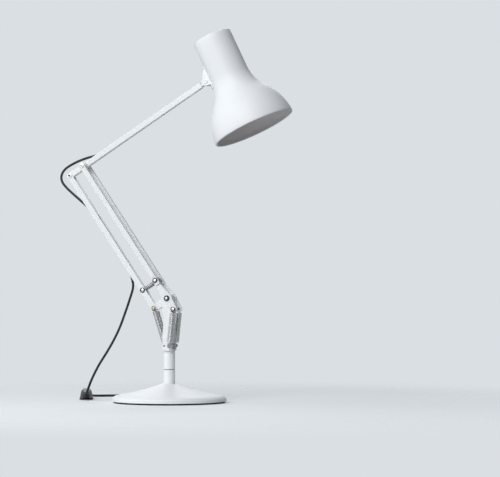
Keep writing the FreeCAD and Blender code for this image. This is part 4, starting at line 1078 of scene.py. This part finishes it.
def shaped(obj: bpy.types.Object, low: float, high: float, share: Point, about: Point) -> None:
    """Scales the vertices that lie between two heights.

    Args:
        obj: The piece.
        low: Lowest height, in millimetres.
        high: Highest one.
        share: Scale along X, Y and Z.
        about: Point that stays put.
    """
    only(obj)
    bpy.ops.object.mode_set(mode="EDIT")
    bpy.ops.mesh.select_mode(type="VERT")
    bpy.ops.mesh.select_all(action="DESELECT")
    bpy.ops.object.mode_set(mode="OBJECT")
    for vertex in obj.data.vertices:
        vertex.select = low * MM <= vertex.co.z <= high * MM
    bpy.ops.object.mode_set(mode="EDIT")
    bpy.ops.transform.resize(value=share, center_override=metres(about))
    bpy.ops.object.mode_set(mode="OBJECT")


def sleeve(name: str, line: Sequence[Point], wide: float = 3.6, narrow: float = 2.1,
           length: float = 22.0, ribs: int = 6) -> bpy.types.Object:
    """Makes the tapered, ribbed sleeve that keeps a lead from kinking at a housing.

    Args:
        name: Name of the piece.
        line: Points of the lead, from the housing outwards, in metres.
        wide: Radius at the housing, in millimetres.
        narrow: Radius at the far end, in millimetres.
        length: Length along the lead, in millimetres.
        ribs: Number of ribs.

    Returns:
        The sleeve, a mesh object.
    """
    step, groove, plain_start, plain_end = 0.4 * MM, 0.38, 0.14, 0.92
    gone, stations = 0.0, []
    places = [Vector(p) for p in line]
    for before, after in zip(places, places[1:]):
        run = (after - before).length
        while len(stations) * step <= min(gone + run, length * MM):
            stations.append(before.lerp(after, (len(stations) * step - gone) / run))
        gone += run
    curve = bpy.data.curves.new(name, "CURVE")
    curve.dimensions = "3D"
    curve.bevel_depth = MM
    curve.bevel_resolution = 5
    curve.use_fill_caps = True
    path = curve.splines.new("POLY")
    path.points.add(len(stations) - 1)
    for index, (point, spot) in enumerate(zip(path.points, stations)):
        share = index / (len(stations) - 1)
        ribbed = plain_start < share < plain_end and math.sin(2 * math.pi * ribs * share) < -0.1
        point.co = (*spot, 1.0)
        point.radius = wide + (narrow - wide) * share ** 0.8 - (groove if ribbed else 0.0)
    only(added(name, curve))
    bpy.ops.object.convert(target="MESH")
    return bpy.context.active_object


@dataclass
class Switch:
    """Rocker switch in the lead: a sloping case, parted along its length, and the rocker."""

    middle: Point = (-132.9, 57.9, 0.0)
    turn_deg: float = 107.0
    length: float = 50.0
    width: float = 18.8
    height: float = 12.9
    end_width: float = 9.0
    end_height: float = 8.0
    axis_height: float = 6.5
    taper: float = 13.0
    top_width: float = 12.4
    parting: float = 4.6
    seam: float = 0.3
    pocket: Point = (17.4, 9.4, 3.6)
    core_share: Point = (0.97, 0.93, 0.9)
    core_gap: float = 0.6
    far: float = 99.0

    def case(self) -> bpy.types.Object:
        """Makes the whole case, tapered to its ends and sloped to its top."""
        body = self.length / 2 - self.taper
        side = self.width / 2
        obj = block((-body, -side, 0.0), (body, side, self.height))
        shrink = (1.0, self.end_width / self.width, self.end_height / self.height)
        for end in (-1.0, 1.0):
            bpy.ops.object.mode_set(mode="EDIT")
            bpy.ops.mesh.select_mode(type="FACE")
            bpy.ops.mesh.select_all(action="DESELECT")
            bpy.ops.object.mode_set(mode="OBJECT")
            for face in obj.data.polygons:
                face.select = face.normal.x * end > 0.9
            bpy.ops.object.mode_set(mode="EDIT")
            bpy.ops.mesh.extrude_region_move(
                TRANSFORM_OT_translate={"value": (end * self.taper * MM, 0.0, 0.0)})
            bpy.ops.transform.resize(value=shrink,
                                     center_override=metres((0.0, 0.0, self.axis_height)))
            bpy.ops.object.mode_set(mode="OBJECT")
        slope = (1.0, self.top_width / self.width, 1.0)
        shaped(obj, self.axis_height, self.height + 1, slope, (0.0, 0.0, 0.0))
        return obj

    def trim(self, obj: bpy.types.Object, low: float, high: float) -> None:
        """Cuts away all that lies between two heights."""
        carve(obj, block((-self.far, -self.far, low), (self.far, self.far, high)))

    def settle(self, obj: bpy.types.Object, name: str, finish: Finish) -> bpy.types.Object:
        """Puts a piece of the case in its place on the floor and finishes it."""
        turn = Matrix.Rotation(math.radians(self.turn_deg), 4, "Z")
        obj.matrix_world = Matrix.Translation(metres(self.middle)) @ turn
        return finish_piece(obj, name, finish)

    def build(self, frame: dict[str, Any]) -> list[bpy.types.Object]:
        """Makes the two halves, the core seen in the seam, and the rocker.

        Args:
            frame: The loaded frame.

        Returns:
            The pieces of the switch.
        """
        long, wide, deep = self.pocket
        lower = self.case()
        self.trim(lower, self.parting - self.seam / 2, self.far)
        bevel(lower, 1.0, 3, 25.0)
        levelled(self.settle(lower, "switch_lower_half", SWITCH_ABS))
        ride(lower, "head", "switch_case_lower", "switch_case_lower")
        upper = self.case()
        self.trim(upper, -self.far, self.parting + self.seam / 2)
        bevel(upper, 1.5, 3, 25.0)
        carve(upper, block((-long / 2, -wide / 2, self.height - deep),
                           (long / 2, wide / 2, self.far)))
        levelled(self.settle(upper, "switch_upper_half", SWITCH_ABS))
        ride(upper, "head", "switch_case_upper", "switch_case_upper")
        core = self.case()
        shaped(core, -self.far, self.far, self.core_share, (0.0, 0.0, self.parting))
        self.trim(core, self.height - deep - self.core_gap, self.far)
        ride(self.settle(core, "switch_core", BLACK_NYLON), "head", "switch_case_lower")
        rocker = softened(frame, "switch_rocker", ROCKER_ABS, "switch_key", 0.4)
        LOG.info("switch")
        return [lower, upper, core, rocker]


@dataclass
class Plug:
    """Moulded plug with finger ridges and its two pins."""

    rear: Point = (-53.8, 171.0, 0.0)
    height: float = 13.6
    ridges: int = 4
    ridge_start: float = 19.0
    ridge_pitch: float = 3.0
    ridge_half: float = 7.0
    ridge_width: float = 1.3
    ridge_sunk: float = 0.6
    ridge_rise: float = 0.45

    def build(self, frame: dict[str, Any]) -> list[bpy.types.Object]:
        """Makes the body with its ridges and softens the pins.

        Args:
            frame: The loaded frame.

        Returns:
            The pieces of the plug.
        """
        body = copied(frame, "plug_body")
        bevel(body, 0.9, 3, 24.0)
        x, y, _ = self.rear
        ridges = []
        for index in range(self.ridges):
            start = y + self.ridge_start + index * self.ridge_pitch
            ridge = block((x - self.ridge_half, start, self.height - self.ridge_sunk),
                          (x + self.ridge_half, start + self.ridge_width,
                           self.height + self.ridge_rise))
            bevel(ridge, 0.4, 3, 30.0)
            ridges.append(ridge)
        piece = finish_piece(join([body, *ridges]), "plug_moulding", SWITCH_ABS, 40.0)
        ride(levelled(piece), "head", "plug_body", "plug_body")
        pins = softened(frame, "plug_prongs", TURNED_BRASS, "head", 0.7, 3)
        LOG.info("plug")
        return [piece, pins]


@dataclass
class Lead:
    """The lead: held loop at the elbow, hanging drop, switch, floor run, coil and plug."""

    loop: tuple[Point, ...] = (
        (-0.08297, 0, 0.33310), (-0.09052, 0, 0.32819), (-0.09952, 0, 0.32531),
        (-0.11102, 0, 0.32291), (-0.12352, 0, 0.31891), (-0.13522, 0, 0.31351),
        (-0.14392, 0, 0.30811), (-0.14912, 0, 0.30111), (-0.14952, 0, 0.29231),
        (-0.14312, 0, 0.28371), (-0.13352, 0, 0.27511), (-0.12482, 0, 0.26771),
        (-0.11412, 0, 0.25871), (-0.10302, 0, 0.24871))
    loop_bend: tuple[Point, Point] = ((-0.112, 0, 0.3226), (-0.121, 0, 0.2645))
    drop: tuple[Point, ...] = (
        (-0.0497, 0, 0.1715), (-0.05125, 0, 0.1666), (-0.0510, 0, 0.16135),
        (-0.0489, 0, 0.1517), (-0.0536, 0, 0.1370), (-0.0606, 0, 0.1170), (-0.0692, 0, 0.0941),
        (-0.0830, 0, 0.0691), (-0.0963, 0, 0.0495), (-0.1050, 0, 0.0331),
        (-0.1115, 0.0020, 0.0194), (-0.1165, 0.0095, 0.0098), (-0.1215, 0.0210, 0.0066),
        (-0.1256, 0.0340, 0.0065))
    drop_bend: tuple[Point, Point] = ((-0.1105, 0.002, 0.022), (-0.0510, 0, 0.16135))
    floor: tuple[Point, ...] = (
        (-0.1402, 0.0818, 0.0065), (-0.1442, 0.0948, 0.0056), (-0.1448, 0.1090, 0.0026),
        (-0.1386, 0.1220, 0.0016), (-0.1265, 0.1312, 0.0016), (-0.1090, 0.1354, 0.0016),
        (-0.0860, 0.1360, 0.0016), (-0.0600, 0.1392, 0.0016))
    tail: tuple[Point, ...] = (
        (-0.0510, 0.1290, 0.0125), (-0.0520, 0.1455, 0.0102), (-0.0538, 0.1585, 0.0076),
        (-0.0538, 0.1710, 0.0068))
    coil_centre: Point = (-0.0330, 0.1130, 0.0016)
    coil_outer: float = 26.2
    coil_pitch: float = 4.6
    coil_rise: float = 3.65
    coil_half_turns: int = 23
    halves_per_layer: int = 6
    steps_per_half: int = 7
    last_steps: int = 4

    def coil(self) -> list[Point]:
        """Lists the coil's control points: loops that spiral in and out, layer on layer."""
        radius, height, inward, travelled = self.coil_outer, 0.0, True, 0
        places = [(radius, height)]
        for _ in range(self.coil_half_turns):
            if travelled == self.halves_per_layer:
                height += self.coil_rise
                inward = not inward
                travelled = 0
            else:
                radius += (-self.coil_pitch if inward else self.coil_pitch) / 2
                travelled += 1
            places.append((radius, height))
        swell = 1 / math.cos(math.pi / self.steps_per_half / 2) ** 0.5
        cx, cy, cz = self.coil_centre

        def spot(half_turns: float, radius_mm: float, height_mm: float) -> Point:
            """Gives the point of the coil after a number of half turns."""
            angle = math.pi / 2 - math.pi * half_turns
            r = radius_mm * swell * MM
            return (cx + r * math.cos(angle), cy + r * math.sin(angle), cz + height_mm * MM)

        points = []
        for half, ((r0, h0), (r1, h1)) in enumerate(zip(places, places[1:])):
            for step in range(self.steps_per_half):
                share = step / self.steps_per_half
                points.append(spot(half + share, r0 + (r1 - r0) * share, h0 + (h1 - h0) * share))
        last_r, last_h = places[-1]
        for step in range(self.last_steps):
            share = step / self.steps_per_half
            points.append(spot(self.coil_half_turns + share,
                               last_r + self.coil_pitch / 2 * share, last_h))
        return points

    def strand(self, name: str, points: Sequence[Point]) -> tuple[bpy.types.Object, list[Point]]:
        """Makes one stretch of the lead as a mesh.

        Args:
            name: Its name.
            points: Its control points, in metres.

        Returns:
            The stretch and the points of its centreline.
        """
        line = centre_line(guide := spline(f"{name}_guide", points))
        bpy.data.objects.remove(guide, do_unlink=True)
        made = wire(name, points, LEAD_DIAMETER / 2, 4, 4)
        return finish_piece(made, name, LEAD_SHEATH, 60.0), line

    def build(self, switch: list[bpy.types.Object], plug: list[bpy.types.Object]) -> None:
        """Makes the loop at the elbow, the drop, and the rest up to the plug.

        Args:
            switch: Pieces of the switch.
            plug: Pieces of the plug.
        """
        loop, line = self.strand("elbow_loop", self.loop)
        bend_between(loop, ("upper_arm", "rear_link"), *map(Vector, self.loop_bend),
                     "lead_elbow", "lead_elbow")
        drop, line = self.strand("lead_drop", self.drop)
        bend_between(drop, ("head", "lower_arm"), *map(Vector, self.drop_bend), "cord_drop",
                     "cord_drop")
        rest = spline("lead_rest", [*self.floor, *self.coil(), *self.tail])
        way = centre_line(rest)
        for name, start, slot, fitting in (
                ("switch_sleeve_near", line[::-1], "switch_case_lower", switch),
                ("switch_sleeve_far", way, "switch_case_lower", plug),
                ("plug_sleeve", way[::-1], "plug_body", plug)):
            relief = finish_piece(sleeve(name, start), name, PAD_RUBBER, 50.0)
            fitting.append(ride(relief, "head", slot))
        rest.data.bevel_depth = LEAD_DIAMETER / 2
        rest.data.bevel_resolution = 4
        rest.data.use_fill_caps = True
        rest.data.resolution_u = 6
        rest.data.materials.append(LEAD_SHEATH.build())
        ride(rest, "head", "cord_floor", "cord_floor", "cord_coil", "cord_tail")
        LOG.info("lead")


@dataclass
class Studio:
    """Pale floor and background, soft lights and the camera."""

    target: Point = (102.5, 25.55, 214.9)
    distance: float = 3000.0
    camera_height: float = 155.0
    azimuth_deg: float = -14.0
    view_width: float = 655.6
    sensor: float = 36.0
    backdrop: str = "DADFE3"
    sky: str = "EEF3FA"
    sky_strength: float = 0.13
    floor_colour: str = "E3E6E8"
    floor_lift: float = 0.24
    floor_drop: float = 0.2
    floor_fade: tuple[float, float] = (0.20, 0.75)
    lamp_colour: str = "FAFCFF"
    lamp_aim: Point = (0.0, 0.0, 260.0)

    def aimed(self, name: str, data: bpy.types.ID, spot: Vector,
              target: Vector) -> bpy.types.Object:
        """Adds a camera or a light that stands at one place and looks at another, in metres."""
        obj = added(name, data)
        obj.location = spot
        obj.rotation_euler = (target - spot).to_track_quat("-Z", "Y").to_euler()
        return obj

    def camera(self) -> None:
        """Sets the camera at the photograph's viewing angle."""
        angle = math.radians(self.azimuth_deg)
        forward = Vector((math.sin(angle), math.cos(angle), 0.0))
        target = metres(self.target)
        spot = target - forward * self.distance * MM
        spot.z = self.camera_height * MM
        data = bpy.data.cameras.new("camera")
        data.sensor_width = self.sensor
        data.lens = self.sensor * self.distance / self.view_width
        data.clip_end = 100.0
        bpy.context.scene.camera = self.aimed("camera", data, spot, target)

    def world(self) -> None:
        """Makes the world that shows the pale backdrop and gives soft, even light."""
        world = bpy.data.worlds.new("studio")
        tree = fresh_tree(world)
        seen = add_node(tree, "ShaderNodeBackground",
                        values={"Color": srgb(self.backdrop), "Strength": 1.0})
        soft = add_node(tree, "ShaderNodeBackground",
                        values={"Color": srgb(self.sky), "Strength": self.sky_strength})
        path = add_node(tree, "ShaderNodeLightPath")
        shown = path.outputs["Is Camera Ray"]
        for ray in ("Is Glossy Ray", "Is Transmission Ray"):
            shown = add_node(tree, "ShaderNodeMath",
                             settings={"operation": "ADD", "use_clamp": True},
                             links={0: shown, 1: path.outputs[ray]}).outputs[0]
        mix = add_node(tree, "ShaderNodeMixShader",
                       links={0: shown, 1: soft.outputs[0], 2: seen.outputs[0]})
        add_node(tree, "ShaderNodeOutputWorld", links={"Surface": mix.outputs[0]})
        bpy.context.scene.world = world

    def floor(self) -> None:
        """Lays the pale floor that keeps the lamp's shadow and fades into the backdrop."""
        bpy.ops.object.select_all(action="DESELECT")
        bpy.ops.mesh.primitive_circle_add(vertices=96, radius=3.0, fill_type="NGON",
                                          location=(0.0, 0.0, -self.floor_drop * MM))
        floor = bpy.context.active_object
        floor.name = "studio_floor"
        material = bpy.data.materials.new("studio_floor")
        tree = fresh_tree(material)
        coords = add_node(tree, "ShaderNodeTexCoord")
        length = add_node(tree, "ShaderNodeVectorMath", settings={"operation": "LENGTH"},
                          links={0: coords.outputs["Object"]})
        fade = add_node(tree, "ShaderNodeMapRange", settings={"interpolation_type": "SMOOTHSTEP"},
                        values={"From Min": self.floor_fade[0], "From Max": self.floor_fade[1]},
                        links={"Value": length.outputs["Value"]})
        matt = add_node(tree, "ShaderNodeBsdfDiffuse", values={"Color": srgb(self.floor_colour)})
        path = add_node(tree, "ShaderNodeLightPath")
        lift = add_node(tree, "ShaderNodeMath", settings={"operation": "MULTIPLY"},
                        values={1: self.floor_lift}, links={0: path.outputs["Is Camera Ray"]})
        glow = add_node(tree, "ShaderNodeEmission", values={"Color": srgb(self.backdrop)},
                        links={"Strength": lift.outputs[0]})
        pale = add_node(tree, "ShaderNodeAddShader", links={0: matt.outputs[0], 1: glow.outputs[0]})
        clear = add_node(tree, "ShaderNodeBsdfTransparent")
        mix = add_node(tree, "ShaderNodeMixShader",
                       links={0: fade.outputs["Result"], 1: pale.outputs[0], 2: clear.outputs[0]})
        add_node(tree, "ShaderNodeOutputMaterial", links={"Surface": mix.outputs[0]})
        floor.data.materials.append(material)

    def lamp(self, name: str, spot: Point, size: float, power: float) -> None:
        """Sets a soft square light aimed at the middle of the object.

        Args:
            name: Name of the light.
            spot: Where it stands, in millimetres.
            size: Edge of the square, in millimetres.
            power: Watts.
        """
        data = bpy.data.lights.new(name, "AREA")
        data.size = size * MM
        data.energy = power
        data.color = srgb(self.lamp_colour)[:3]
        self.aimed(name, data, metres(spot), metres(self.lamp_aim))

    def build(self) -> None:
        """Sets the stage."""
        bpy.context.scene.view_settings.view_transform = "Standard"
        self.camera()
        self.world()
        self.floor()
        self.lamp("key", (-372.0, -1915.0, 1480.0), 1500.0, 45.0)
        self.lamp("side", (-1898.0, -474.0, 676.0), 1600.0, 13.0)
        self.lamp("back", (-500.0, 2300.0, 1900.0), 1600.0, 20.0)
        LOG.info("studio")


def main() -> None:
    """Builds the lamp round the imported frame."""
    logging.basicConfig(level=logging.INFO, format="%(name)s %(message)s")
    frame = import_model()
    Studio().build()
    Foot().build(frame)
    Arms().build(frame)
    Springs().build()
    Shade().build(frame)
    Lead().build(Switch().build(frame), Plug().build(frame))


if __name__ == "__main__":
    main()
